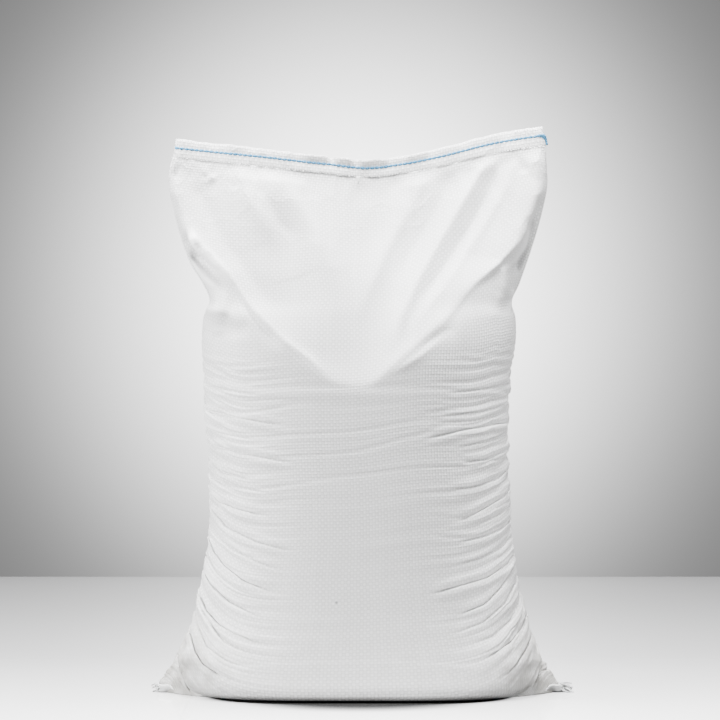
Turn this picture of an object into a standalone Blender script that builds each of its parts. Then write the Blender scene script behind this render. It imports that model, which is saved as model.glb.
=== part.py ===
"""A filled grain sack standing on its base.

The sack is a flat tube of woven plastic tape, turned over and sewn across both ends. Grain fills its lower
two thirds to a rounded body, and above it the empty cloth closes to a flat, wavy seam. The bottom seam runs
under the base and stands out at each side as a pointed ear.

Metres, +Z up. X runs along the seams, and -Y is the front, on which the mouth is turned over.
"""

import bmesh
import bpy
import numpy as np

# Driving dimensions
EAR_REACH = 0.246  # half of the bottom seam, from the middle to an ear's tip
HEM = 0.022  # the width that is turned over at the mouth and at the bottom
BROW = 0.373  # the height at which the full front bends back to the slope below the mouth
BROW_TURN = (0.353, 0.377)  # the heights between which the round body turns to the ridged slope
MOUTH_MIDDLE = 0.644  # the height of the mouth's fold at the middle of the sack
SLOPE_END = MOUTH_MIDDLE - HEM  # the raw edge of the turned-over mouth, at the middle
LEAN = 0.010  # how far the mouth stands behind the middle of the base
HEM_LEAN = 0.0035  # how far the mouth's fold leans back from its raw edge
HEM_FRONT, HEM_BACK = 0.0022, 0.0013  # the hem's half thicknesses, with the turned-over layers in front
LAYER = 0.0014  # half the thickness of the two layers just below the hem

# The side creases: height, reach to the left, reach to the right
SIDES = (
    (0.000, 0.246, 0.246),
    (0.010, 0.242, 0.240),
    (0.027, 0.232, 0.228),
    (0.045, 0.219, 0.217),
    (0.063, 0.211, 0.210),
    (0.081, 0.204, 0.203),
    (0.110, 0.196, 0.197),
    (0.140, 0.190, 0.189),
    (0.172, 0.183, 0.184),
    (0.240, 0.180, 0.180),
    (0.310, 0.185, 0.178),
    (0.380, 0.188, 0.181),
    (0.436, 0.190, 0.188),
    (0.454, 0.188, 0.187),
    (0.471, 0.181, 0.183),
    (0.493, 0.189, 0.192),
    (0.515, 0.203, 0.200),
    (0.551, 0.217, 0.212),
    (0.588, 0.226, 0.222),
    (0.606, 0.230, 0.2255),
    (0.630, 0.2290, 0.2260),
    (0.650, 0.2255, 0.2250),
    (0.684, 0.2200, 0.2205),
)
# The full body and the slope above it: height, reach forward, reach back
DEPTHS = (
    (0.000, 0.1030, 0.1015),
    (0.0022, 0.1205, 0.1190),
    (0.0055, 0.1275, 0.1260),
    (0.012, 0.1310, 0.1295),
    (0.030, 0.1325, 0.1312),
    (0.065, 0.1320, 0.1312),
    (0.130, 0.1295, 0.1295),
    (0.220, 0.1250, 0.1255),
    (0.300, 0.1210, 0.1210),
    (0.345, 0.1190, 0.1190),
    (0.366, 0.1180, 0.1180),
    (0.374, 0.1160, 0.1160),
    (0.384, 0.1120, 0.1122),
    (0.400, 0.1055, 0.1063),
    (0.430, 0.0940, 0.0952),
    (0.460, 0.0815, 0.0825),
    (0.490, 0.0675, 0.0682),
    (0.5155, 0.0540, 0.0545),
    (0.541, 0.0405, 0.0408),
    (0.580, 0.0212, 0.0212),
    (0.608, 0.0068, 0.0068),
    (SLOPE_END, LAYER, LAYER),
)
# The mouth's fold: place along X and height
MOUTH_SPAN = 0.222  # half of the mouth's fold
MOUTH = (
    (-0.224, 0.668),
    (-0.120, 0.656),
    (-0.040, 0.6475),
    (0.010, 0.6430),
    (0.050, 0.6485),
    (0.097, 0.658),
    (0.160, 0.6745),
    (0.222, 0.684),
)
# The ridges that run from the brow up to the top corners: height, reach to the left, reach to the right
RIDGES = (
    (0.371, 0.028, 0.015),
    (0.399, 0.0715, 0.042),
    (0.427, 0.100, 0.076),
    (0.459, 0.1265, 0.112),
    (0.492, 0.151, 0.139),
    (0.5155, 0.1715, 0.1655),
    (0.541, 0.195, 0.192),
    (0.600, 0.222, 0.217),
)
RIDGE_SOFTNESS = 0.25  # how gently the cloth turns over a ridge, as a share of the ridge's own height
RIM = 0.985  # the share of a row's half width where the cloth starts its turn into the side crease
# The cheeks beside the slope: height, and how deep the body would be if they went on to its middle
CHEEKS = (
    (0.345, 0.1190),
    (0.366, 0.1182),
    (0.400, 0.1176),
    (0.430, 0.1160),
    (0.460, 0.1105),
    (0.490, 0.1005),
    (0.5155, 0.0895),
    (0.541, 0.0810),
    (0.560, 0.0700),
)
CHEEK_END = (0.530, 0.560)  # the heights between which the ridges sink back into the slope
CHEEK_TURN, SHARP_SIDE = (0.44, 0.53), 0.9  # the heights between which the round sides flatten to a crease
BODY_FLATNESS, BODY_ROUNDNESS = 2.7, 2.15  # how flat the body's faces and how round its sides are
FOOT_FLATNESS, FOOT_TOP = 4.5, 0.110  # the same flatness on the floor, and where it has run out
# The base's rounded outline, without the ears: height and reach
FEET = (
    (0.000, 0.184),
    (0.004, 0.197),
    (0.010, 0.2055),
    (0.020, 0.2110),
    (0.040, 0.2150),
    (0.060, 0.2200),
)
EAR_SLOPE = 1.0  # how fast an ear widens from its tip, front to back
EAR_FULLNESS = 0.55  # the widest part of an ear, as a share of the depth at the middle
EAR_START, EAR_TOP = 0.035, 0.058  # the heights between which the ears run out into the body's sides

# The slack cloth's large folds: height over the slope, half width, then points as X and height, from the top
# down. The back has them mirrored.
FOLDS = (
    (0.0070, 0.014, (-0.143, 0.660), (-0.141, 0.600), (-0.130, 0.570), (-0.104, 0.537), (-0.028, 0.410)),
    (-0.0050, 0.020, (-0.190, 0.600), (-0.164, 0.548), (-0.122, 0.490), (-0.078, 0.430)),
    (0.0075, 0.011, (0.160, 0.660), (0.146, 0.625), (0.122, 0.585), (0.072, 0.495), (0.022, 0.412)),
    (0.0045, 0.010, (0.128, 0.660), (0.112, 0.620), (0.088, 0.570), (0.064, 0.525), (0.026, 0.430)),
    (-0.0060, 0.010, (0.206, 0.549), (0.185, 0.523), (0.140, 0.484), (0.105, 0.438), (0.053, 0.398)),
)
FOLD_END = 0.75  # the share of its length from which a fold runs out
BACK_FOLDS = 0.8  # the back's folds, as a share of the front's

# Waves of the mouth, front to back: size, length, and the place along X where each crosses the middle
MOUTH_WAVES = ((0.016, 0.450, -0.010), (0.003, 0.112, 0.020))

# Sewing thread
STITCH_LINE = 0.011  # from a fold to its row of stitches
MOUTH_THREAD, BOTTOM_THREAD = 0.0014, 0.0012  # diameters
TAIL = 0.012  # the free end of the mouth's thread, down the right edge
GAP = 0.0003

# How finely the cloth is divided
PANEL_COLUMNS = 58  # across the front, and again across the back
BASE_ROWS = (0.0, 0.35, 0.75)  # from the bottom seam to the edge of the base
BODY_ROWS = (0.0, 0.0022, 0.0055, 0.012, 0.030, 0.055, 0.085, 0.125, 0.170, 0.220, 0.270, 0.315, 0.350, BROW)
NECK_ROWS = (0.384, 0.397, 0.411, 0.426, 0.441, 0.457, 0.473, 0.489)
SLACK_ROWS = (0.505, 0.521, 0.537, 0.554, 0.571, 0.588, 0.604)
HEM_ROWS = (SLOPE_END - 0.003, SLOPE_END, MOUTH_MIDDLE - STITCH_LINE, MOUTH_MIDDLE - 0.002)
SAMPLES = 241  # points on a section before it is divided evenly


def smooth_curve(at, points, column=1):
    """A smooth curve through the points, read at one place or many; column picks the value."""
    knots = np.array([p[0] for p in points])
    values = np.array([p[column] for p in points])
    slopes = np.gradient(values, knots)
    at = np.clip(at, knots[0], knots[-1])
    i = np.clip(np.searchsorted(knots, at) - 1, 0, len(knots) - 2)
    step = knots[i + 1] - knots[i]
    t = (at - knots[i]) / step
    return (
        (2 * t**3 - 3 * t**2 + 1) * values[i]
        + (t**3 - 2 * t**2 + t) * step * slopes[i]
        + (3 * t**2 - 2 * t**3) * values[i + 1]
        + (t**3 - t**2) * step * slopes[i + 1]
    )


def ease(value, low, high):
    """0 below low, 1 above high, and a smooth step between."""
    t = np.clip((value - low) / (high - low), 0, 1)
    return t * t * (3 - 2 * t)


def height_at(level, x):
    """Above the brow the rows of the cloth follow the mouth's sagging fold."""
    share = np.clip((level - BROW) / (MOUTH_MIDDLE - BROW), 0, 1)
    return np.where(level > BROW, BROW + share * (smooth_curve(x, MOUTH) - BROW), level)


def mouth_wave(x):
    """How far the mouth stands in front of or behind its mean line."""
    return sum(size * np.sin(2 * np.pi * (x - place) / length) for size, length, place in MOUTH_WAVES)


def middle_plane(level, x):
    """Y of the sheet that halves the sack, from the seam under the base to the wavy mouth."""
    hem = np.clip((level - SLOPE_END) / HEM, 0, 1)
    return ease(level, BROW, SLOPE_END) * (LEAN + mouth_wave(x)) + hem * HEM_LEAN


def half_depth(level, front):
    """How far the middle of a face stands from the middle plane."""
    if level >= SLOPE_END:
        return HEM_FRONT if front else HEM_BACK
    return smooth_curve(level, DEPTHS, 1 if front else 2)


def smooth_least(value, limit, softness):
    """The smaller of two depths, with a soft turn where they meet."""
    return (value + limit - np.sqrt((value - limit) ** 2 + softness**2)) / 2


def face_outline(x, side, level, height, depth, columns):
    """Distance of a face from the middle plane, at each x of one row."""
    reach = np.abs(x) / side
    if level >= SLOPE_END:
        return depth * (1 - ease(reach, RIM, 1.0))
    ears = 1 - ease(level, EAR_START, EAR_TOP)
    foot = side + ears * np.minimum(smooth_curve(level, FEET) - side, 0)
    flatness = BODY_FLATNESS + (FOOT_FLATNESS - BODY_FLATNESS) * (1 - ease(level, 0.0, FOOT_TOP))
    body = depth * (1 - (np.abs(x) / foot).clip(0, 1) ** flatness) ** (1 / BODY_ROUNDNESS)
    ear = np.minimum(ears * EAR_SLOPE * (side - np.abs(x)), EAR_FULLNESS * depth)
    body = (body**6 + ear.clip(0) ** 6) ** (1 / 6)
    ridge = np.where(x < 0, *[smooth_curve(height, RIDGES, column) for column in columns])
    ridge = np.minimum(ridge, RIM * side)
    round_side = 1 / BODY_ROUNDNESS
    power = round_side + ease(level, *CHEEK_TURN) * (SHARP_SIDE - round_side)
    full = 1 - (ridge / side) ** BODY_FLATNESS
    crest = smooth_curve(level, CHEEKS) * full**round_side
    crest = depth + (1 - ease(level, *CHEEK_END)) * (crest - depth).clip(0)
    cheek = crest * ((1 - reach**BODY_FLATNESS) / full).clip(0) ** power
    hollow = depth + (crest - depth) * (x / ridge) ** 2
    facet = smooth_least(cheek, hollow, RIDGE_SOFTNESS * (crest - depth) + 0.0001)
    return body + ease(level, *BROW_TURN) * (facet - body)


def off_line(x, height, points):
    """How far each place of a panel is from a bent line, and its share of the way along the line."""
    points = np.array(points)
    lengths = np.linalg.norm(np.diff(points, axis=0), axis=1)
    nearest = np.full(x.shape, np.inf)
    share = np.zeros(x.shape)
    for number, (start, end) in enumerate(zip(points[:-1], points[1:])):
        step = end - start
        t = (((x - start[0]) * step[0] + (height - start[1]) * step[1]) / lengths[number] ** 2).clip(0, 1)
        distance = np.hypot(x - start[0] - t * step[0], height - start[1] - t * step[1])
        run = (lengths[:number].sum() + t * lengths[number]) / lengths.sum()
        share = np.where(distance < nearest, run, share)
        nearest = np.minimum(distance, nearest)
    return nearest, share


def fold_relief(x, height, front):
    """How far the large folds stand out of one face."""
    relief = np.zeros(x.shape)
    for size, width, *points in FOLDS:
        off, share = off_line(x if front else -x, height, points)
        crest = np.exp(0.5 - 1.5 * np.sqrt((off / width) ** 2 + 1 / 9))
        relief += size * crest * (1 - ease(share, FOLD_END, 1.0))
    return relief if front else BACK_FOLDS * relief


def panel_row(level, front):
    """One row of the front or back panel, from the right crease to the left, evenly divided."""
    turn = np.linspace(np.pi / 2, -np.pi / 2, SAMPLES)
    ends = [height_at(level, x) for x in (-MOUTH_SPAN, MOUTH_SPAN)]
    left, right = smooth_curve(ends[0], SIDES, 1), smooth_curve(ends[1], SIDES, 2)
    side = np.where(turn > 0, right, left)
    x = side * np.sin(turn)
    height = height_at(level, x)
    columns = (1, 2) if front else (2, 1)
    outline = face_outline(x, side, level, height, half_depth(level, front), columns)
    if BROW < level < SLOPE_END:
        inside = (1 - ease(np.abs(x) / side, 0.90, 1.0)) * (1 - ease(level, SLOPE_END - HEM, SLOPE_END))
        outline = outline + inside * fold_relief(x, height, front)
    y = middle_plane(level, x) + (-outline if front else outline)
    return evenly(np.stack([x, y, height], axis=1))


def evenly(line):
    """The line again, with PANEL_COLUMNS equal steps along it."""
    steps = np.linalg.norm(np.diff(line, axis=0), axis=1)
    along = np.concatenate([[0], np.cumsum(steps)])
    at = np.linspace(0, along[-1], PANEL_COLUMNS + 1)
    return np.stack([np.interp(at, along, line[:, axis]) for axis in range(3)], axis=1)


def closing_row(row):
    """The row that both panels share at a fold: the given front row laid onto the middle plane."""
    folded = row.copy()
    folded[:, 2] = smooth_curve(row[:, 0], MOUTH)
    folded[:, 1] = middle_plane(MOUTH_MIDDLE, row[:, 0])
    return folded


def cloth_rows():
    """Every row of the cloth as points round the whole sack, from the bottom seam to the mouth's fold."""
    footprint = [panel_row(0.0, front) for front in (True, False)]
    seam = footprint[0].copy()
    seam[:, 0] = np.linspace(EAR_REACH, -EAR_REACH, PANEL_COLUMNS + 1)
    seam[:, 1] = 0
    pairs = [[seam + share * (panel - seam) for panel in footprint] for share in BASE_ROWS]
    levels = BODY_ROWS + NECK_ROWS + SLACK_ROWS + HEM_ROWS
    pairs += [[panel_row(level, front) for front in (True, False)] for level in levels]
    pairs.append([closing_row(pairs[-1][0])] * 2)
    return [np.concatenate([front, back[-2:0:-1]]) for front, back in pairs]


def material(name, colour, roughness):
    made = bpy.data.materials.new(name)
    made.use_nodes = True
    shader = made.node_tree.nodes["Principled BSDF"]
    shader.inputs["Base Color"].default_value = (*colour, 1)
    shader.inputs["Roughness"].default_value = roughness
    shader.inputs["Metallic"].default_value = 0
    return made


def add(name, data, finish):
    made = bpy.data.objects.new(name, data)
    data.materials.append(finish)
    bpy.context.scene.collection.objects.link(made)
    return made


def fold_line(bm, face, per_row):
    """Splits a quad of the grid along the diagonal that runs outwards as it rises, as the ridges do."""
    low = min(vert.index for vert in face.verts)
    outer_first = low % per_row % PANEL_COLUMNS < PANEL_COLUMNS // 2
    ends = (low + 1, low + per_row) if outer_first else (low, low + per_row + 1)
    bmesh.utils.face_split(face, bm.verts[ends[0]], bm.verts[ends[1]])


def sack_body():
    """The cloth with the grain in it, as a grid that is wrapped round and welded where it meets itself."""
    rows = cloth_rows()
    around = len(rows[0])
    bm = bmesh.new()
    bmesh.ops.create_grid(bm, x_segments=around, y_segments=len(rows) - 1, size=1)
    bm.verts.ensure_lookup_table()
    for index, vert in enumerate(bm.verts):
        row, column = divmod(index, around + 1)
        vert.co = rows[row][column % around]
    for face in list(bm.faces):
        fold_line(bm, face, around + 1)
    bmesh.ops.remove_doubles(bm, verts=bm.verts, dist=1e-5)
    bmesh.ops.dissolve_degenerate(bm, edges=bm.edges, dist=1e-5)
    bmesh.ops.recalc_face_normals(bm, faces=bm.faces)
    mesh = bpy.data.meshes.new("sack_cloth")
    bm.to_mesh(mesh)
    bm.free()
    mesh.shade_smooth()
    return mesh


def block(name, low, high):
    """A box between two corners."""
    bm = bmesh.new()
    bmesh.ops.create_cube(bm, size=1)
    low, high = np.array(low), np.array(high)
    for vert in bm.verts:
        vert.co = (low + high) / 2 + np.array(vert.co) * (high - low)
    mesh = bpy.data.meshes.new(name)
    bm.to_mesh(mesh)
    bm.free()
    made = bpy.data.objects.new(name, mesh)
    made.hide_render = True
    made.display_type = "WIRE"
    bpy.context.scene.collection.objects.link(made)
    return made


def boolean(target, other, operation):
    cut = target.modifiers.new(other.name, "BOOLEAN")
    cut.operation = operation
    cut.object = other


def thread(name, points, diameter, finish):
    """A thread as a round tube with closed ends."""
    curve = bpy.data.curves.new(name, "CURVE")
    curve.dimensions = "3D"
    curve.bevel_depth = diameter / 2
    curve.bevel_resolution = 2
    curve.use_fill_caps = True
    spline = curve.splines.new("POLY")
    spline.points.add(len(points) - 1)
    for point, place in zip(spline.points, points):
        point.co = (*place, 1)
    return add(name, curve, finish)


def stitch_row(front):
    """The line of stitches on one face of the hem, from right to left. The front one has a tail."""
    row = panel_row(MOUTH_MIDDLE - STITCH_LINE, front)[1:-1]
    slope = np.gradient(row[:, 1], row[:, 0])
    off = (MOUTH_THREAD / 2 + GAP) * np.sqrt(1 + slope**2)
    row[:, 1] += -off if front else off
    if not front:
        return row
    drop = np.array([TAIL, TAIL / 2, 0.0])
    tail = np.zeros((3, 3))
    tail[:, 2] = row[0, 2] - drop
    tail[:, 0] = smooth_curve(tail[:, 2], SIDES, 2) + MOUTH_THREAD
    tail[:, 1] = middle_plane(MOUTH_MIDDLE, tail[:, 0])
    tail[-1, 1] = row[0, 1]
    return np.concatenate([tail, row])


def main():
    for old in list(bpy.data.objects):
        bpy.data.objects.remove(old)
    white = material("woven_cloth", (0.84, 0.845, 0.84), 0.5)
    blue = material("blue_thread", (0.16, 0.42, 0.66), 0.7)
    pale = material("white_thread", (0.80, 0.80, 0.78), 0.7)
    sack = add("sack_cloth", sack_body(), white)
    end = EAR_REACH + 0.001
    boolean(sack, block("bottom_hem", (-end, -HEM, 0.0004), (end, 0.001, 0.0034)), "UNION")
    groove = BOTTOM_THREAD / 2 + 0.0005
    top = BOTTOM_THREAD + 0.0004 + GAP
    front, back = -STITCH_LINE - groove, -STITCH_LINE + groove
    boolean(sack, block("stitch_groove", (-0.3, front, -0.01), (0.3, back, top)), "DIFFERENCE")
    thread("top_needle_thread", stitch_row(True), MOUTH_THREAD, blue)
    thread("top_looper_thread", stitch_row(False), MOUTH_THREAD, blue)
    height = 0.0004 + BOTTOM_THREAD / 2
    thread("bottom_thread", [(x, -STITCH_LINE, height) for x in (-EAR_REACH, EAR_REACH)], BOTTOM_THREAD, pale)


main()
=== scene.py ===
"""The looks of a filled grain sack of white woven tape, standing on a pale floor.

The sack's cloth starts as the form that its solid has. Then the cloth is settled: it has the real sack's length
and width everywhere, the grain holds it from inside, and what is too long buckles into creases. The seams,
stitches and loose tapes are laid on the settled cloth.

Metres, +Z up. X runs along the seams, and -Y is the front, on which the mouth is turned over.
"""

import math

import bmesh
import bpy
import numpy as np
from bpy.props import FloatProperty, FloatVectorProperty, PointerProperty
from mathutils import Matrix, Vector


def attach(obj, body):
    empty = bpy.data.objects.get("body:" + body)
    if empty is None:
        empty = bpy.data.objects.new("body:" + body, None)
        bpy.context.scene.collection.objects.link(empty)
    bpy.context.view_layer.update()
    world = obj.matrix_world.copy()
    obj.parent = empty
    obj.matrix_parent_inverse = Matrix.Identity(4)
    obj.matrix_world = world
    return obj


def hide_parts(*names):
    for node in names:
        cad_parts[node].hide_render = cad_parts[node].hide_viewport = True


bl_info = {
    "name": "Grain sack",
    "version": (1, 0, 0),
    "blender": (4, 5, 0),
    "location": "3D View > Sidebar > Grain sack",
    "description": "Makes a filled and stitched grain sack around its packed solids",
    "category": "Object",
}

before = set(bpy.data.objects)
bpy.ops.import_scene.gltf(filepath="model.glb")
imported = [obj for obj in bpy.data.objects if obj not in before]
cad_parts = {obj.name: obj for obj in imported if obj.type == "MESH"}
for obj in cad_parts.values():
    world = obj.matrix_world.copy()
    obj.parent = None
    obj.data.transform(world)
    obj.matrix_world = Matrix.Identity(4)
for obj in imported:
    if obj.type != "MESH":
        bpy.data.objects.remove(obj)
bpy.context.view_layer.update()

# The form of the filled sack, as its solid has it
EAR_REACH = 0.246  # from the middle to the end of a bottom corner
HEM = 0.022  # height of the turned-over mouth
BROW = 0.373  # height at which the front and the back turn in to the mouth
MOUTH_MIDDLE = 0.644  # height of the mouth's fold in the middle
SLOPE_END = MOUTH_MIDDLE - HEM
LEAN = 0.010  # how far the mouth stands behind the middle of the base
HEM_LEAN = 0.0035  # and how much farther its fold does
LAYER = 0.0014  # how far each face stands off the middle plane under the hem
# Height, then the distance from the middle to the left and to the right side
SIDES = (
    (0.000, 0.246, 0.246),
    (0.010, 0.242, 0.240),
    (0.027, 0.232, 0.228),
    (0.045, 0.219, 0.217),
    (0.063, 0.211, 0.210),
    (0.081, 0.204, 0.203),
    (0.110, 0.196, 0.197),
    (0.140, 0.190, 0.189),
    (0.172, 0.183, 0.184),
    (0.240, 0.180, 0.180),
    (0.310, 0.185, 0.178),
    (0.380, 0.188, 0.181),
    (0.436, 0.190, 0.188),
    (0.454, 0.188, 0.187),
    (0.471, 0.181, 0.183),
    (0.493, 0.189, 0.192),
    (0.515, 0.203, 0.200),
    (0.551, 0.217, 0.212),
    (0.588, 0.226, 0.222),
    (0.606, 0.230, 0.2255),
    (0.630, 0.2290, 0.2260),
    (0.650, 0.2255, 0.2250),
    (0.684, 0.2200, 0.2205),
)
# Height, then how far the front and the back stand off the middle plane
DEPTHS = (
    (0.000, 0.1030, 0.1015),
    (0.0022, 0.1205, 0.1190),
    (0.0055, 0.1275, 0.1260),
    (0.012, 0.1310, 0.1295),
    (0.030, 0.1325, 0.1312),
    (0.065, 0.1320, 0.1312),
    (0.130, 0.1295, 0.1295),
    (0.220, 0.1250, 0.1255),
    (0.300, 0.1210, 0.1210),
    (0.345, 0.1190, 0.1190),
    (0.366, 0.1180, 0.1180),
    (0.374, 0.1160, 0.1160),
    (0.384, 0.1120, 0.1122),
    (0.400, 0.1055, 0.1063),
    (0.430, 0.0940, 0.0952),
    (0.460, 0.0815, 0.0825),
    (0.490, 0.0675, 0.0682),
    (0.5155, 0.0540, 0.0545),
    (0.541, 0.0405, 0.0408),
    (0.580, 0.0212, 0.0212),
    (0.608, 0.0068, 0.0068),
    (SLOPE_END, LAYER, LAYER),
)
MOUTH_SPAN = 0.222  # half width of the mouth
# X and height of the mouth's fold
MOUTH = (
    (-0.224, 0.668),
    (-0.120, 0.656),
    (-0.040, 0.6475),
    (0.010, 0.6430),
    (0.050, 0.6485),
    (0.097, 0.658),
    (0.160, 0.6745),
    (0.222, 0.684),
)
# The ridges beside the flat V below the mouth: height, then the distance from the middle to the left and right one
RIDGES = (
    (0.371, 0.028, 0.015),
    (0.399, 0.0715, 0.042),
    (0.427, 0.100, 0.076),
    (0.459, 0.1265, 0.112),
    (0.492, 0.151, 0.139),
    (0.5155, 0.1715, 0.1655),
    (0.541, 0.195, 0.192),
    (0.600, 0.222, 0.217),
)
# Height and depth of the cheeks, which are the full parts outside the ridges
CHEEKS = (
    (0.345, 0.1190),
    (0.366, 0.1182),
    (0.400, 0.1176),
    (0.430, 0.1160),
    (0.460, 0.1105),
    (0.490, 0.1005),
    (0.5155, 0.0895),
    (0.541, 0.0810),
    (0.560, 0.0700),
)
CHEEK_END = (0.530, 0.560)  # heights between which the cheeks end
CHEEK_TURN, SHARP_SIDE = (0.44, 0.53), 0.9  # heights between which their sides turn sharp, and how sharp
RIDGE_SOFTNESS = 0.25
RIM = 0.985  # share of the half width up to which the mouth keeps its thickness, and up to which a ridge can lie
BROW_TURN = (0.353, 0.377)  # heights between which the round body gives way to the V
BODY_FLATNESS, BODY_ROUNDNESS = 2.7, 2.15  # powers of the body's level lines
FOOT_FLATNESS, FOOT_TOP = 4.5, 0.110  # near the floor they are squarer, up to this height
# Height and half width of the body between the ears
FEET = (
    (0.000, 0.184),
    (0.004, 0.197),
    (0.010, 0.2055),
    (0.020, 0.2110),
    (0.040, 0.2150),
    (0.060, 0.2200),
)
EAR_SLOPE = 1.0  # how fast an ear gets deeper from its end inwards
EAR_FULLNESS = 0.55  # and up to which share of the body's depth
EAR_START, EAR_TOP = 0.035, 0.058  # heights between which the ears end
HEM_TURN = (0.217, 0.240)  # X between which the bottom hem turns up at an ear
EAR_FLAT = (0.006, 0.012)  # heights between which the ear gets its depth where the hem turns up
MOUTH_WAVES = ((0.016, 0.450, -0.010), (0.003, 0.112, 0.020))  # size, length and start of the mouth's waves
SEAM_RISE = HEM - 0.011  # height of the mouth's stitches over its raw edge

# Folds of the slack cloth below the mouth: height over the form, half width below and above, then points as X and
# height
DRAPES = (
    (
        0.0030, 0.006, 0.006, (-0.196, 0.541), (-0.177, 0.524), (-0.158, 0.503), (-0.143, 0.478),
        (-0.120, 0.452), (-0.092, 0.424), (-0.060, 0.400), (-0.030, 0.376),
    ),
    (
        0.0025, 0.006, 0.006, (0.196, 0.541), (0.171, 0.5155), (0.151, 0.496), (0.126, 0.466), (0.108, 0.442),
        (0.092, 0.424), (0.070, 0.404), (0.030, 0.378),
    ),
    (
        0.0060, 0.018, 0.014, (-0.147, 0.650), (-0.143, 0.612), (-0.133, 0.587), (-0.118, 0.563),
        (-0.106, 0.540), (-0.098, 0.515),
    ),
    (
        0.0075, 0.036, 0.018, (-0.108, 0.640), (-0.094, 0.602), (-0.074, 0.575), (-0.055, 0.546),
        (-0.040, 0.505), (-0.035, 0.465),
    ),
    (
        0.0060, 0.042, 0.026, (-0.094, 0.602), (-0.074, 0.575), (-0.055, 0.546), (-0.040, 0.505),
        (-0.034, 0.460), (-0.032, 0.420), (-0.030, 0.385),
    ),
    (-0.0020, 0.008, 0.008, (-0.124, 0.660), (-0.117, 0.600), (-0.098, 0.565), (-0.075, 0.535)),
    (-0.0050, 0.020, 0.020, (-0.190, 0.600), (-0.164, 0.548), (-0.122, 0.490), (-0.078, 0.430)),
    (
        0.0055, 0.014, 0.022, (0.098, 0.650), (0.084, 0.630), (0.070, 0.600), (0.033, 0.532), (0.010, 0.480),
        (0.000, 0.450), (-0.004, 0.425),
    ),
    (
        0.0075, 0.011, 0.011, (0.160, 0.660), (0.146, 0.625), (0.122, 0.585), (0.096, 0.540), (0.070, 0.495),
        (0.050, 0.450), (0.036, 0.400),
    ),
    (
        0.0035, 0.010, 0.010, (0.188, 0.640), (0.174, 0.605), (0.150, 0.565), (0.118, 0.515), (0.084, 0.466),
        (0.054, 0.422),
    ),
    (-0.0050, 0.010, 0.010, (0.170, 0.645), (0.156, 0.605), (0.132, 0.560), (0.102, 0.513), (0.068, 0.460)),
    (-0.0035, 0.014, 0.014, (0.120, 0.645), (0.099, 0.597), (0.064, 0.530), (0.040, 0.480)),
    (
        -0.0050, 0.008, 0.008, (-0.189, 0.522), (-0.169, 0.507), (-0.152, 0.486), (-0.135, 0.462),
        (-0.116, 0.438), (-0.089, 0.410),
    ),
    (
        -0.0060, 0.010, 0.010, (0.221, 0.585), (0.206, 0.549), (0.185, 0.523), (0.163, 0.503), (0.140, 0.484),
        (0.121, 0.462), (0.105, 0.438), (0.077, 0.418), (0.053, 0.398),
    ),
    (-0.0045, 0.004, 0.004, (-0.216, 0.638), (-0.222, 0.628), (-0.228, 0.620)),
    (-0.0045, 0.004, 0.004, (-0.172, 0.640), (-0.180, 0.626), (-0.188, 0.616)),
    (0.0045, 0.005, 0.005, (-0.190, 0.645), (-0.184, 0.625), (-0.176, 0.612)),
    (-0.0040, 0.004, 0.004, (-0.156, 0.640), (-0.152, 0.620), (-0.148, 0.600)),
    (-0.0040, 0.004, 0.004, (0.186, 0.655), (0.194, 0.640), (0.201, 0.624)),
)
SHARP_FOLD = 0.012  # half width up to which a fold keeps its height almost to its end
# Hollows and swellings of the cheeks between the ridges and the side creases: size towards the front, width, then
# points as above
CHEEK_FOLDS = (
    (0.012, 0.012, (-0.222, 0.560), (-0.206, 0.540), (-0.190, 0.530)),
    (-0.016, 0.007, (-0.212, 0.540), (-0.200, 0.522), (-0.186, 0.509), (-0.169, 0.495)),
    (0.024, 0.018, (-0.204, 0.480), (-0.184, 0.472), (-0.166, 0.464), (-0.150, 0.458)),
    (-0.012, 0.008, (-0.190, 0.440), (-0.163, 0.437), (-0.142, 0.435)),
    (-0.014, 0.010, (0.212, 0.560), (0.203, 0.532), (0.191, 0.511), (0.187, 0.490), (0.185, 0.472)),
    (0.009, 0.010, (0.176, 0.505), (0.172, 0.480), (0.160, 0.458)),
)
# Sharp creases of the cheeks: depth and width, then points as above
CHEEK_CREASES = (
    (
        0.0046, 0.0048, (-0.214, 0.556), (-0.208, 0.540), (-0.198, 0.526), (-0.183, 0.512), (-0.168, 0.496),
        (-0.155, 0.482),
    ),
    (0.0014, 0.0045, (-0.192, 0.454), (-0.178, 0.451), (-0.162, 0.448), (-0.145, 0.446)),
    (0.0026, 0.0040, (0.214, 0.560), (0.204, 0.535), (0.190, 0.514), (0.172, 0.497)),
    (0.0020, 0.0030, (0.190, 0.486), (0.187, 0.470), (0.184, 0.455)),
)
# Creases that part the ears from the body, in the same way
EAR_CREASES = (
    (
        0.0013, 0.0022, (-0.203, 0.073), (-0.2066, 0.066), (-0.2159, 0.045), (-0.2141, 0.033), (-0.205, 0.016),
        (-0.196, 0.004),
    ),
    (0.0013, 0.0022, (0.2230, 0.040), (0.2183, 0.030), (0.2110, 0.022), (0.2002, 0.006)),
)
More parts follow.
